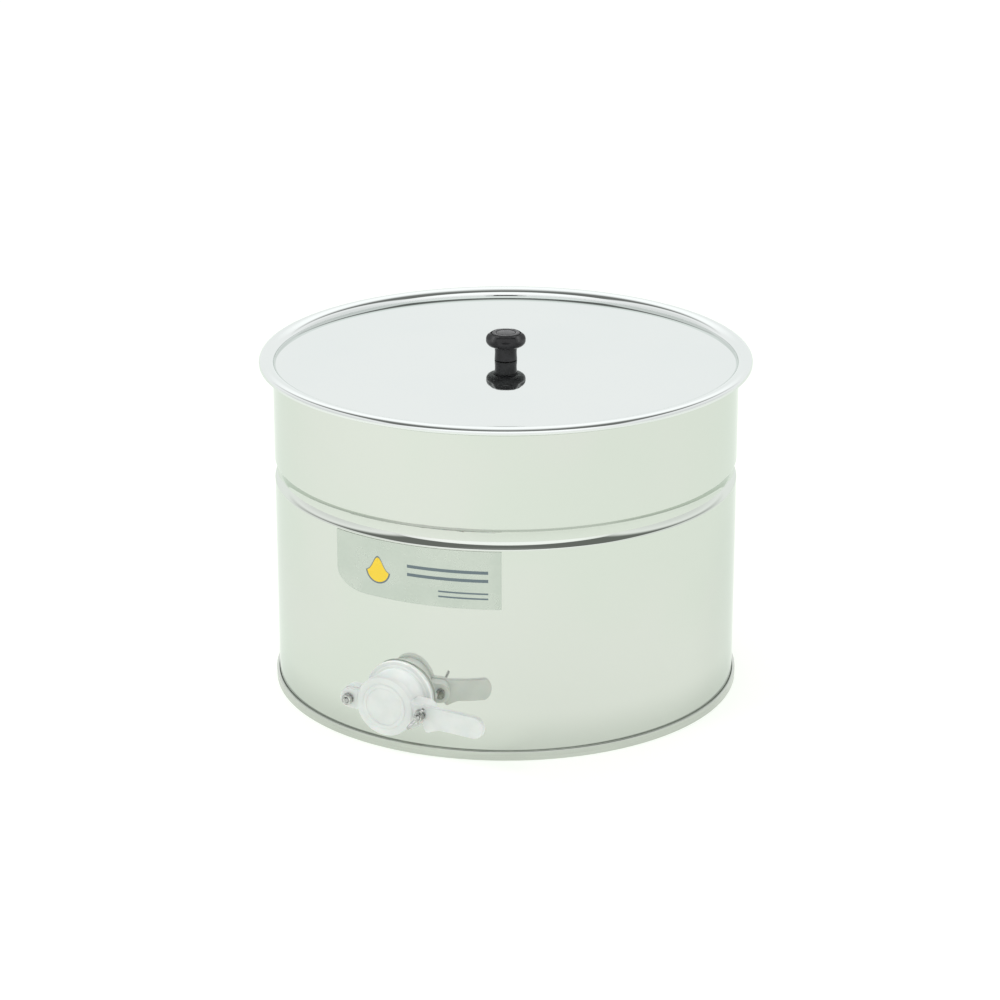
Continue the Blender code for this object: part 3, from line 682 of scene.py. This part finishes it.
pivot = Vector(next(j["pos_m"] for j in frame["joints"] if j["name"] == "shutter_swing"))
clamp = Vector(next(j["pos_m"] for j in frame["joints"] if j["name"] == "wing_nut_turn"))
gate_height = (pivot.z + clamp.z) / 2
gate_tilt = math.atan2(clamp.z - pivot.z, clamp.x - pivot.x)
gate_turn = Euler((math.pi / 2, -gate_tilt, 0)).to_matrix().to_4x4()
gate_matrix = Matrix.Translation((0, 0, gate_height)) @ gate_turn
pivot_matrix = gate_matrix @ Matrix.Translation((-BOLT_SPREAD, 0, 0))
clamp_matrix = gate_matrix @ Matrix.Translation((BOLT_SPREAD, 0, 0))
knob_matrix = Matrix.Translation((0, 0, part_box("lid_knob")[0].z))
lid_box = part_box("lid_panel")
RIM_CENTRE = (lid_box[1].x - SHEET / 2 - RIM_HALF_WIDTH, lid_box[1].z - SHEET / 2 - RIM_HALF_HEIGHT)


# ---------------------------------------------------------------- drum

def bead_path():
    """The inward bead: a slightly hollow cone below its deepest ring, a hollow arc above it."""
    deep = WALL_MID - BEAD_DEPTH
    waist = (WALL_MID - BEAD_DEPTH / 2 - BEAD_HOLLOW, (BEAD_LOW + BEAD_BOTTOM) / 2 - BEAD_HOLLOW)
    cone = rounded([
        (WALL_MID, BEAD_LOW - 0.004),
        (WALL_MID, BEAD_LOW + 0.0004, 0.0016),
        (*waist, 0.018),
        (deep, BEAD_BOTTOM, 0.0014),
        (deep, BEAD_BOTTOM + 0.004),
    ], 14)[:-1]
    start = cone[-1][1]
    lean = 2 * math.atan(BEAD_DEPTH / (BEAD_HIGH - start))
    groove = (BEAD_HIGH - start) / math.sin(lean) - BEAD_EDGE_RADIUS
    hollow = arc((deep + groove, start), groove, groove, math.pi, math.pi - lean, 30)
    edge = arc((WALL_MID - BEAD_EDGE_RADIUS, BEAD_HIGH), BEAD_EDGE_RADIUS, BEAD_EDGE_RADIUS, -lean, 0, 12)
    return cone + hollow[1:] + edge[1:]


def tank_wall():
    gate_rows = [(WALL_MID, gate_height + 0.006 * k) for k in range(-6, 7)]
    path = [(WALL_MID, WALL_FOOT)] + gate_rows + [(WALL_MID, 0.17)]
    path += bead_path()
    path += [(WALL_MID, 0.30), (WALL_MID, FLARE_START - 0.0015), (WALL_MID + 0.00015, FLARE_START)]
    path += arc(RIM_CENTRE, CURL_HALF_WIDTH, CURL_TOP_HALF_HEIGHT, math.pi, 0, 28)
    path += arc(RIM_CENTRE, CURL_HALF_WIDTH, RIM_HALF_HEIGHT, 0, CURL_END, 20)[1:]
    wall = solid("tank_wall", turned(sheet_section(guarded(path))))
    outside = DRUM_RADIUS + 0.010
    hole = [(0, TAIL_END), (WALL_HOLE, TAIL_END), (WALL_HOLE, outside), (0, outside)]
    cut(wall, turned(hole, 96), gate_matrix)
    steel = mirror_steel("wall_steel", WALL_TINT, WALL_WARM)
    finish_piece(wall, steel, "root", "drum_shell")


def tank_base():
    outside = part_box("bottom_disc")[1].x
    inside = DRUM_RADIUS + GAP
    corners = [
        (outside, 0.0, HEM_ROUND),
        (outside, HEM_HEIGHT, HEM_ROUND),
        (inside, HEM_HEIGHT, HEM_ROUND * 0.6),
        (inside, FLOOR_THICKNESS),
    ]
    outline = [(0, 0)] + rounded([(0, 0)] + corners + [(0, FLOOR_THICKNESS)])[1:]
    base = solid("tank_base", turned(guarded(outline)))
    finish_piece(base, satin_steel("base_steel", BASE_TINT), "root", "bottom_disc")


def tank_label():
    low_corner, high_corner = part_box("label")
    inside = DRUM_RADIUS + GAP
    outside = inside + LABEL_THICKNESS
    low, high = low_corner.z, high_corner.z
    bm = bmesh.new()
    columns = []
    steps = 120
    for i in range(steps + 1):
        a = LABEL_LEFT + (LABEL_RIGHT - LABEL_LEFT) * i / steps
        foot = low
        if a < LABEL_BEND:
            share = (LABEL_BEND - a) / (LABEL_BEND - LABEL_LEFT)
            foot = low + LABEL_RISE * (1 - math.sqrt(max(0.0, 1 - share**2)))
        column = []
        for r, z in ((inside, foot), (outside, foot), (outside, high), (inside, high)):
            column.append(bm.verts.new((r * math.sin(a), -r * math.cos(a), z)))
        columns.append(column)
    for one, two in zip(columns, columns[1:]):
        for k in range(4):
            m = (k + 1) % 4
            bm.faces.new((one[k], one[m], two[m], two[k]))
    bm.faces.new(columns[0])
    bm.faces.new(columns[-1])
    bmesh.ops.recalc_face_normals(bm, faces=bm.faces)
    film = label_film("sticker_film", low)
    finish_piece(solid("tank_label", bm), film, "root", "label")


# ---------------------------------------------------------------- lid and knob

def lid_sheet():
    crest = lid_box[1].z - SHEET / 2
    inner = PANEL_MID + PANEL_ROUND / 2
    foot = (RIM_CENTRE[0] - ROLL_WIDTH, PANEL_MID)
    path = [(SCREW_HOLE, PANEL_MID), (0.12, PANEL_MID)]
    corner = [(0.2, PANEL_MID), (*foot, PANEL_ROUND), (foot[0], PANEL_MID + 0.002)]
    path += rounded(corner, 8)[1:-1]
    path += arc((RIM_CENTRE[0], inner), ROLL_WIDTH, crest - inner, math.radians(174), math.radians(90), 40)
    outer = (RIM_CENTRE[0], crest - ROLL_DROP)
    path += arc(outer, RIM_HALF_WIDTH, ROLL_DROP, math.radians(90), 0, 30)[1:]
    path += [(RIM_CENTRE[0] + RIM_HALF_WIDTH, SKIRT_END)]
    sheet = solid("lid_sheet", turned(sheet_section(guarded(path))))
    finish_piece(sheet, mirror_steel("lid_steel", LID_TINT, LID_WARM), "lid", "lid_panel")


def knob_shape(angle, radius, height):
    """Six shallow scallops in the head's upper half, fading out below and towards the ring."""
    if radius < KNOB_RING:
        return radius
    wave = ((1 + math.cos(KNOB_LOBES * (angle - KNOB_TURN))) / 2) ** 0.7
    rise = min(1.0, max(0.0, (height - SCALLOP_FOOT) / SCALLOP_RISE))
    fall = min(1.0, (radius - KNOB_RING) / SCALLOP_FALL)
    return radius - KNOB_SCALLOP * wave * rise * rise * (3 - 2 * rise) * fall


def knob_body():
    outline = [(0, KNOB_SOCKET_DEPTH), (KNOB_SOCKET, KNOB_SOCKET_DEPTH), (KNOB_SOCKET, 0)]
    outline += rounded([
        (KNOB_SOCKET, 0),
        (KNOB_STEM, 0, 0.0005),
        (KNOB_WAIST, KNOB_WAIST_HEIGHT, 0.030),
        (KNOB_STEM, KNOB_NECK_HEIGHT),
    ], 8)[1:-1]
    outline += [(KNOB_STEM, KNOB_SOCKET_DEPTH)]
    neck = (KNOB_STEM + 0.0010, KNOB_NECK_HEIGHT)
    outline += arc(neck, KNOB_NECK_BEAD, KNOB_NECK_BEAD, math.radians(-80), math.radians(80), 6)
    belly = (KNOB_BELLY, KNOB_BELLY_HEIGHT)
    outline += arc(belly, KNOB_HEAD - KNOB_BELLY, KNOB_BELLY_DROP, math.radians(-86), 0, 20)
    crown = (KNOB_RING, KNOB_CROWN_HEIGHT)
    crown_rise = KNOB_HEIGHT - KNOB_CROWN_HEIGHT - 0.0006
    outline += arc(crown, KNOB_HEAD - KNOB_RING, crown_rise, math.radians(3), math.radians(86), 24)
    outline += [
        (KNOB_RING - 0.0001, KNOB_HEIGHT - KNOB_GROOVE),
        (KNOB_RING - 0.0012, KNOB_HEIGHT - KNOB_GROOVE),
        (KNOB_RING - 0.0014, KNOB_HEIGHT - 0.0005),
        (KNOB_RING - 0.0018, KNOB_HEIGHT - 0.0001),
        (KNOB_CAP + 0.0010, KNOB_HEIGHT),
        (KNOB_CAP + 0.0004, KNOB_HEIGHT - 0.0004),
        (KNOB_CAP + 0.0003, KNOB_HEIGHT - 0.0017),
        (0, KNOB_HEIGHT - 0.0017),
    ]
    body = solid("knob_body", turned(outline, 240, knob_shape), knob_matrix)
    plastic = black_plastic("knob_plastic")
    finish_piece(body, plastic, "lid", "lid_knob", math.radians(50))


def knob_insert():
    """The round cap in the knob's top, very slightly domed."""
    low = KNOB_HEIGHT - 0.0014
    outline = rounded([
        (0, low),
        (KNOB_CAP, low),
        (KNOB_CAP, KNOB_HEIGHT - 0.0003, 0.0004),
        (0, KNOB_HEIGHT + 0.0004),
    ], 5)[:-1]
    for k in range(1, 8):
        share = 1 - k / 8
        outline.append((KNOB_CAP * share, KNOB_HEIGHT - 0.0002 + 0.0005 * (1 - share**2)))
    outline.append((0, KNOB_HEIGHT + 0.0003))
    insert = solid("knob_insert", turned(outline, 96), knob_matrix)
    finish_piece(insert, black_plastic("cap_plastic"), "lid", "knob_cap")


def ring_washer(name, outer, low, high, matrix, body, stands_for):
    edge = (high - low) * 0.3
    inner = WASHER_INSIDE
    outline = rounded([(inner, low), (outer, low, edge), (outer, high, edge), (inner, high, edge)], 4)
    washer = solid(name, turned(guarded(outline, closed=True), SMALL_STEPS), matrix)
    finish_piece(washer, zinc_steel(name + "_zinc"), body, stands_for)


def knob_fixings():
    low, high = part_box("knob_washer")
    base = knob_matrix.translation.z
    foot, top = low.z - base, high.z - base
    ring_washer("knob_ring", KNOB_WASHER, foot, top, knob_matrix, "lid", "knob_washer")

    low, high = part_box("knob_screw")
    foot, top = low.z - base, high.z - base
    neck = foot + KNOB_BOLT_HEAD_HEIGHT
    head = [(0, foot), (KNOB_BOLT_HEAD, foot, 0.0013), (KNOB_BOLT_HEAD, neck)]
    outline = [(0, foot)] + rounded(head, 6)[1:] + [(BOLT_RADIUS, neck)]
    outline += [(BOLT_RADIUS, neck + (top - neck) * k / 60) for k in range(1, 61)] + [(0, top)]
    screw = solid("knob_bolt", turned(outline, SMALL_STEPS, thread(foot + 0.005, top)), knob_matrix)
    hexagon = arc((0, 0), KNOB_BOLT_SOCKET, KNOB_BOLT_SOCKET, 0, 2 * math.pi, 6)[:-1]
    cut(screw, prism(hexagon, foot - 0.001, foot + KNOB_BOLT_SOCKET_DEPTH))
    finish_piece(screw, zinc_steel("knob_bolt_zinc"), "lid", "knob_screw")


# ---------------------------------------------------------------- strainer

def strainer_wall():
    low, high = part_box("strainer_band")
    path = rounded([
        (BAND_RADIUS - BAND_FLANGE, low.z + SHEET / 2),
        (BAND_RADIUS - SHEET / 2, low.z + SHEET / 2, 0.0012),
        (BAND_RADIUS - SHEET / 2, high.z),
    ], 8)
    band = solid("strainer_wall", turned(sheet_section(guarded(path))))
    finish_piece(band, satin_steel("band_steel"), "strainer", "strainer_band")


def strainer_sieve():
    low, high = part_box("strainer_screen")
    outline = [(0, low.z), (high.x, low.z), (high.x, high.z), (0, high.z)]
    sieve = solid("strainer_sieve", turned(guarded(outline)))
    finish_piece(sieve, sieve_steel("sieve_plate"), "strainer", "strainer_screen")


def strainer_stays():
    """Two crossed bars under the sieve."""
    low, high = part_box("strainer_cross")
    bars = []
    for x, y in ((high.x, STAY_HALF), (STAY_HALF, high.x)):
        bars.append(prism([(-x, -y), (x, -y), (x, y), (-x, y)], low.z, high.z))
    stays = solid("strainer_stays", joined(bars))
    moulded(stays, 0.0006, 3)
    finish_piece(stays, satin_steel("stay_steel"), "strainer", "strainer_cross")


def strainer_grip(word):
    """A bent rod handle standing up inside the strainer's wall."""
    low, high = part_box("strainer_handle_" + word)
    x = (low.x + high.x) / 2
    half = high.y - ROD_RADIUS
    top = high.z - ROD_RADIUS
    centre = (half - ROD_BEND, top - ROD_BEND)
    bend = arc(centre, ROD_BEND, ROD_BEND, 0, math.pi / 2, 14)
    route = [(half, low.z)] + bend + [(-y, z) for y, z in bend[::-1]] + [(-half, low.z)]
    curve = bpy.data.curves.new("rod", "CURVE")
    curve.dimensions = "3D"
    curve.bevel_depth = ROD_RADIUS
    curve.bevel_resolution = 8
    curve.use_fill_caps = True
    spline = curve.splines.new("POLY")
    spline.points.add(len(route) - 1)
    for point, (y, z) in zip(spline.points, route):
        point.co = (x, y, z, 1)
    rod = bpy.data.objects.new("rod", curve)
    bpy.context.scene.collection.objects.link(rod)
    bpy.context.view_layer.update()
    mesh = bpy.data.meshes.new_from_object(rod.evaluated_get(bpy.context.evaluated_depsgraph_get()))
    bpy.data.objects.remove(rod)
    grip = bpy.data.objects.new("strainer_grip_" + word, mesh)
    bpy.context.scene.collection.objects.link(grip)
    steel = satin_steel("grip_steel_" + word)
    finish_piece(grip, steel, "strainer", "strainer_handle_" + word)


# ---------------------------------------------------------------- gate

def thread(start, end, pitch=THREAD_PITCH, depth=0.0005, radius_range=(0.0025, 0.0031)):
    """A reshape function that cuts a helical thread between two heights."""
    def reshape(angle, radius, height):
        if not (start <= height <= end - pitch * 0.4 and radius_range[0] <= radius <= radius_range[1]):
            return radius
        phase = (height / pitch - angle / (2 * math.pi)) % 1.0
        return radius - depth * abs(2 * phase - 1)
    return reshape


def drill(obj, x, radius, low, high):
    """Cuts a round hole at (x, 0) right through obj, which lies between low and high."""
    outline = arc((x, 0), radius, radius, 0, 2 * math.pi, 48)[:-1]
    cut(obj, prism(outline, low - SHEET, high + SHEET))


def gate_housing():
    tail = [(TAIL_RADIUS, TAIL_END + (FLANGE_BACK - TAIL_END) * k / 80) for k in range(81)]
    profile = [(BORE, TAIL_END)] + tail
    profile += rounded([
        (TAIL_RADIUS, FLANGE_BACK),
        (FLANGE_RADIUS, FLANGE_BACK, 0.0008),
        (FLANGE_RADIUS, FLANGE_FRONT, 0.0013),
        (NECK_RADIUS + 0.0035, FLANGE_FRONT, 0.0006),
        (NECK_RADIUS + 0.0030, FLANGE_FRONT + 0.0010, 0.0006),
        (NECK_RADIUS + 0.0003, FLANGE_FRONT + 0.0014, 0.0012),
        (NECK_RADIUS, SEAT, 0.0007),
        (SEAL_OUTSIDE, SEAT),
    ], 6)[1:]
    groove = SEAT - SEAL_DEPTH
    profile += [(SEAL_OUTSIDE, groove), (SEAL_INSIDE, groove), (SEAL_INSIDE, SEAT), (BORE, SEAT)]
    cut_thread = thread(TAIL_END + 0.001, FLANGE_BACK - 0.004, 0.0022, 0.0009, (0.0235, 0.0240))
    barrel = turned(profile, GATE_STEPS * 2, cut_thread)
    body = solid("gate_housing", barrel, gate_matrix)
    ears = []
    for side in (-1, 1):
        outline = [(side * x, y) for x, y in tongue(EAR_ROOT + 0.002, BOLT_SPREAD, 0, EAR_RADIUS)]
        ears.append(prism(outline, EAR_BACK, SEAT))
        web = [(side * x, y) for x, y in tongue(EAR_ROOT + 0.002, BOLT_SPREAD - 0.006, 0, 0.0032)]
        ears.append(prism(web, FLANGE_FRONT, EAR_BACK + 0.001))
    ears = solid("ears", joined(ears), gate_matrix)
    moulded(ears, 0.0005, 8)
    for side in (-1, 1):
        drill(ears, side * BOLT_SPREAD, FIXED_HOLE, EAR_BACK, SEAT)
    merged = bmesh.new()
    merged.from_mesh(body.data)
    merged.from_mesh(ears.data)
    merged.to_mesh(body.data)
    merged.free()
    bpy.data.objects.remove(ears)
    finish_piece(body, white_plastic("housing_plastic"), "root", "gate_body")


def drum_slice(inside, outside):
    """A ring about the drum's axis, level with the gate."""
    low, high = GASKET_SPAN
    return turned([(inside, low), (outside, low), (outside, high), (inside, high)])


def gate_gaskets():
    """The rings on either side of the wall, each cut to the wall's curve."""
    for name, stands_for, outer, back, front, waste in (
        ("gate_gasket", "gate_outer_gasket", OUTER_GASKET, DRUM_RADIUS - 0.0040, FLANGE_BACK - GAP,
         drum_slice(0, DRUM_RADIUS + GAP)),
        ("gate_back_gasket", "gate_inner_gasket", INNER_GASKET, INNER_GASKET_BACK, DRUM_RADIUS,
         drum_slice(DRUM_RADIUS - SHEET - GAP, DRUM_RADIUS + 0.05)),
    ):
        inner = GASKET_INSIDE
        corners = [(inner, back), (outer, back), (outer, front, 0.0006), (inner, front, 0.0006)]
        outline = guarded(rounded(corners, 4), longest=0.002, closed=True)
        ring = solid(name, turned(outline, GATE_STEPS), gate_matrix)
        cut(ring, waste, Matrix.Identity(4))
        finish_piece(ring, milky_rubber(name + "_rubber"), "root", stands_for)


def gate_seal():
    inner = SEAL_INSIDE + GAP
    outer = SEAL_OUTSIDE - GAP
    foot = SEAT - SEAL_DEPTH + GAP
    outline = rounded([(inner, foot), (outer, foot), (outer, SEAT, 0.0006), (inner, SEAT, 0.0006)], 6)
    seal = solid("gate_seal_ring", turned(guarded(outline, closed=True), GATE_STEPS), gate_matrix)
    finish_piece(seal, milky_rubber("seal_rubber_ring"), "root", "gate_face_seal")


def lobed(angle, radius, height):
    """The lock nut's lobes, drawn in from its outside only."""
    if radius < 0.0290:
        return radius
    return radius - LOCK_NUT_LOBE * (1 + math.cos(LOCK_NUT_LOBES * angle)) / 2


def gate_ring_nut():
    inner = TAIL_RADIUS + GAP
    outline = rounded([
        (inner, LOCK_NUT_BACK, 0.0006),
        (LOCK_NUT, LOCK_NUT_BACK, 0.0012),
        (LOCK_NUT, LOCK_NUT_FRONT, 0.0012),
        (inner, LOCK_NUT_FRONT),
    ], 5)
    nut = solid("gate_ring_nut", turned(guarded(outline, closed=True), GATE_STEPS * 2, lobed), gate_matrix)
    finish_piece(nut, white_plastic("nut_plastic"), "root", "gate_lock_nut")


def slot_outline():
    """The slot runs down from the clamp bolt on an arc about the pivot, and opens below."""
    reach = 2 * BOLT_SPREAD
    far = reach + SLOT_HALF
    near = reach - SLOT_HALF
    outer = arc((0, 0), far, far, 0, -SLOT_SWEEP, 12)
    inner = arc((0, 0), near, near, -SLOT_SWEEP, 0, 12)
    crown = arc((reach, 0), SLOT_HALF, SLOT_HALF, math.pi, 0, 16)[1:-1]
    return outer + inner + crown


def gate_shutter():
    disc_outline = [(0, PLATE_BACK)] + rounded([
        (0, PLATE_BACK),
        (PLATE_RADIUS, PLATE_BACK, 0.0006),
        (PLATE_RADIUS, PLATE_FRONT, 0.0016),
        (RIB_OUTSIDE + 0.0006, PLATE_FRONT, 0.0004),
        (RIB_OUTSIDE - 0.0002, PLATE_FRONT + RIB_HEIGHT, 0.0006),
        (RIB_INSIDE + 0.0002, PLATE_FRONT + RIB_HEIGHT, 0.0006),
        (RIB_INSIDE - 0.0006, PLATE_FRONT, 0.0004),
        (0, PLATE_FRONT),
    ], 5)[1:]
    disc = turned(disc_outline, 160)
    bmesh.ops.translate(disc, verts=disc.verts, vec=(BOLT_SPREAD, 0, 0))
    # The heel below the handle's root, beside the slot's open end
    heel = [(0.0875, -0.0060), (0.0872, -0.0150), (0.0890, -0.0180), (0.0925, -0.0186), (0.0965, -0.0165),
            (0.1050, -0.0136), (0.1050, -0.0060)]
    outlines = [
        [(BOLT_SPREAD - x, y) for x, y in tongue(0, BOLT_SPREAD, 0, PIVOT_ARM_HALF)],
        tongue(BOLT_SPREAD, 2 * BOLT_SPREAD, 0, CLAMP_ARM_HALF),
        tongue(HANDLE_ROOT, HANDLE_END - HANDLE_HALF, -HANDLE_DROP, HANDLE_HALF),
        heel,
    ]
    arms = [prism(outline, PLATE_BACK, ARM_FRONT) for outline in outlines]
    plate = solid("gate_shutter", joined([disc] + arms), pivot_matrix)
    moulded(plate, 0.00042, 9)
    cut(plate, prism(slot_outline(), PLATE_BACK - SHEET, PLATE_FRONT + SHEET))
    drill(plate, 0, RUNNING_HOLE, PLATE_BACK, PLATE_FRONT)
    finish_piece(plate, white_plastic("shutter_plastic"), "shutter", "gate_plate")


def stud(name, matrix, end, stands_for):
    head = EAR_BACK - GAP
    back = head - BOLT_HEAD_HEIGHT
    rows = int((end - head) / (THREAD_PITCH / 6))
    outline = [(0, back)]
    outline += rounded([(0, back), (BOLT_HEAD, back, 0.0016), (BOLT_HEAD, head)], 6)[1:]
    outline += [(BOLT_RADIUS, head + (end - 0.0004 - head) * k / rows) for k in range(rows + 1)]
    outline += [(BOLT_RADIUS - 0.0005, end), (0, end)]
    bolt = solid(name, turned(outline, SMALL_STEPS, thread(SEAT, end)), matrix)
    finish_piece(bolt, zinc_steel(name + "_zinc"), "root", stands_for)


def hex_nut():
    low = ARM_FRONT + 2 * GAP + WASHER_THICKNESS
    high = low + HEX_HEIGHT

    def hexagon(angle, radius, height):
        if radius < 0.0040:
            return radius
        sixth = math.pi / 3
        flat = HEX_HALF / math.cos((angle + sixth / 2) % sixth - sixth / 2)
        edge = min(height - low, high - height)
        return min(flat, HEX_HALF + edge * 1.8)

    rows = [low + (high - low) * k / 30 for k in range(31)]
    outline = [(WASHER_INSIDE, low)] + [(HEX_HALF, z) for z in rows] + [(WASHER_INSIDE, high)]
    nut = solid("pivot_hex_nut", turned(outline, 144, hexagon), pivot_matrix)
    finish_piece(nut, zinc_steel("pivot_nut_zinc"), "root", "pivot_nut")


def wing_nut():
    foot = ARM_FRONT + 2 * GAP + WASHER_THICKNESS
    top = foot + HUB_HEIGHT
    hub = [(0.0031, foot), (0.0052, foot, 0.0005), (0.0044, top, 0.0006), (0.0031, top)]
    parts = [turned(rounded(hub, 4), 64)]
    for side in (-1, 1):
        tip = arc(WING_TIP, WING_TIP_RADIUS, WING_TIP_RADIUS, math.radians(-50), math.radians(140), 20)
        outline = [(0.0036, 0.0012), (0.0070, 0.0016)] + tip + [(0.0037, 0.0062)]
        wing = prism(outline, -WING_HALF, WING_HALF)
        for vert in wing.verts:
            outward, height, across = vert.co
            vert.co = (side * outward, side * -across, foot + height)
        bmesh.ops.recalc_face_normals(wing, faces=wing.faces)
        parts.append(wing)
    nut = solid("clamp_wing_nut", joined(parts), clamp_matrix @ Matrix.Rotation(WING_TURN, 4, "Z"))
    moulded(nut, 0.00022, 6)
    finish_piece(nut, zinc_steel("wing_nut_zinc"), "wing_nut", "wing_nut", math.radians(60))


# ---------------------------------------------------------------- set, light and camera

def bounce(name, place, size, way, power):
    """A lamp for the light a polished sheet throws back on whatever stands close to it."""
    data = bpy.data.lights.new(name, "AREA")
    data.shape = "RECTANGLE"
    data.size, data.size_y = size
    data.energy = power
    lamp = bpy.data.objects.new(name, data)
    lamp.location = place
    lamp.rotation_euler = Vector(way).to_track_quat("-Z", "Y").to_euler()
    lamp.visible_camera = False
    lamp.visible_glossy = False
    bpy.context.scene.collection.objects.link(lamp)


def glowing_floor():
    floor_mesh = bmesh.new()
    bmesh.ops.create_grid(floor_mesh, x_segments=1, y_segments=1, size=14)
    floor = solid("floor", floor_mesh, Matrix.Translation((0, 0, -0.0002)))
    material, tree, shader, where = new_material("floor_paper")
    grain = tree.noise(where, 3.0, 2.0)
    lighter = tuple(channel * 1.01 for channel in FLOOR_TONE)
    tree.feed(shader.inputs["Base Color"], tree.blend(grain, FLOOR_TONE, lighter))
    shader.inputs["Roughness"].default_value = 0.9
    shader.inputs["Specular IOR Level"].default_value = 0.0
    shader.inputs["Emission Color"].default_value = (*FLOOR_GLOW, 1)
    shader.inputs["Emission Strength"].default_value = FLOOR_GLOW_STRENGTH
    floor.data.materials.append(material)


def surround():
    """The world that the steel reflects, laid out about the camera's direction."""
    world = bpy.data.worlds.new("studio")
    bpy.context.scene.world = world
    world.use_nodes = True
    tree = Tree(world.node_tree)
    background = world.node_tree.nodes["Background"]
    way = tree.node("ShaderNodeTexCoord").outputs["Generated"]
    x, y, z = tree.node("ShaderNodeSeparateXYZ", ("Vector", way)).outputs
    sine = math.sin(CAMERA_AZIMUTH)
    cosine = math.cos(CAMERA_AZIMUTH)
    front = tree.math("ADD", tree.math("MULTIPLY", x, sine), tree.math("MULTIPLY", y, -cosine))
    across = tree.math("ADD", tree.math("MULTIPLY", x, cosine), tree.math("MULTIPLY", y, sine))
    aside = tree.math("ABSOLUTE", across)
    rise = tree.math("ARCTAN2", z, front)
    dark = tree.ramp(rise, *DARK_START)
    bend = tree.math("MULTIPLY", tree.math("MULTIPLY", aside, aside), DARK_BEND)
    bent = tree.math("SUBTRACT", rise, bend)
    dark = tree.math("MULTIPLY", dark, tree.ramp(bent, *DARK_END, 1.0, 0.0))
    dark = tree.math("MULTIPLY", dark, tree.ramp(aside, *DARK_SIDE, 1.0, 0.0))
    near = tree.math("MULTIPLY", tree.ramp(front, *LIFT_BEFORE), tree.ramp(z, *LIFT_NEAR))
    lift = tree.math("MAXIMUM", tree.ramp(z, *LIFT_ABOVE), near)
    lift = tree.math("MULTIPLY", lift, tree.ramp(aside, *LIFT_SIDE, 1.0, 0.0))
    bright = tree.blend(lift, WALLS_TONE, BOX_TONE)
    bright = tree.blend(tree.ramp(aside, *FLANK_SIDE), bright, FLANK_TONE)
    tree.feed(background.inputs["Color"], tree.blend(dark, bright, ROOM_TONE))
    background.inputs["Strength"].default_value = 1.0


def lamps():
    fill = bpy.data.lights.new("fill", "AREA")
    fill.shape = "DISK"
    fill.size = FILL_SIZE
    fill.energy = FILL_POWER
    lamp = bpy.data.objects.new("fill", fill)
    lamp.location = FILL_PLACE
    lamp.rotation_euler = (Vector(FILL_TARGET) - lamp.location).to_track_quat("-Z", "Y").to_euler()
    lamp.visible_glossy = False
    bpy.context.scene.collection.objects.link(lamp)

    outward = (0, -1, 0)
    right = (0.092, BOUNCE_OUT, 0.062)
    left = (-0.062, BOUNCE_OUT, 0.066)
    above = (0.0, BOUNCE_OUT, 0.118)
    bounce("wall_bounce_right", right, (0.12, 0.08), outward, BOUNCE_POWER)
    bounce("wall_bounce_left", left, (0.03, 0.06), outward, BOUNCE_POWER / 5)
    bounce("wall_bounce_top", above, (0.13, 0.03), (0, -0.80, -0.60), BOUNCE_POWER * 1.2)
    lid_centre = knob_matrix.translation + Vector((0, 0, 0.0006))
    bounce("lid_bounce", lid_centre, (0.09, 0.09), (0, 0, 1), LID_BOUNCE_POWER)


def photo_camera():
    data = bpy.data.cameras.new("camera")
    data.sensor_width = 36
    data.lens = CAMERA_LENS
    data.shift_x = CAMERA_SHIFT
    camera = bpy.data.objects.new("camera", data)
    east = CAMERA_DISTANCE * math.sin(CAMERA_AZIMUTH)
    south = CAMERA_DISTANCE * math.cos(CAMERA_AZIMUTH)
    camera.location = (east, -south, CAMERA_HEIGHT)
    camera.rotation_euler = (math.pi / 2 - CAMERA_PITCH, 0, CAMERA_AZIMUTH)
    bpy.context.scene.collection.objects.link(camera)
    bpy.context.scene.camera = camera
    bpy.context.scene.view_settings.view_transform = "Standard"


tank_wall()
tank_base()
tank_label()
lid_sheet()
knob_body()
knob_insert()
knob_fixings()
strainer_wall()
strainer_sieve()
strainer_stays()
strainer_grip("left")
strainer_grip("right")
gate_housing()
gate_gaskets()
gate_seal()
gate_ring_nut()
gate_shutter()
stud("pivot_stud", pivot_matrix, PIVOT_BOLT_END, "pivot_bolt")
stud("clamp_stud", clamp_matrix, CLAMP_BOLT_END, "clamp_bolt")
washer_back = ARM_FRONT + GAP
washer_front = washer_back + WASHER_THICKNESS
for side, matrix in (("pivot", pivot_matrix), ("clamp", clamp_matrix)):
    ring_washer(side + "_ring", WASHER_OUTSIDE, washer_back, washer_front, matrix, "root", side + "_washer")
hex_nut()
wing_nut()
glowing_floor()
surround()
lamps()
photo_camera()
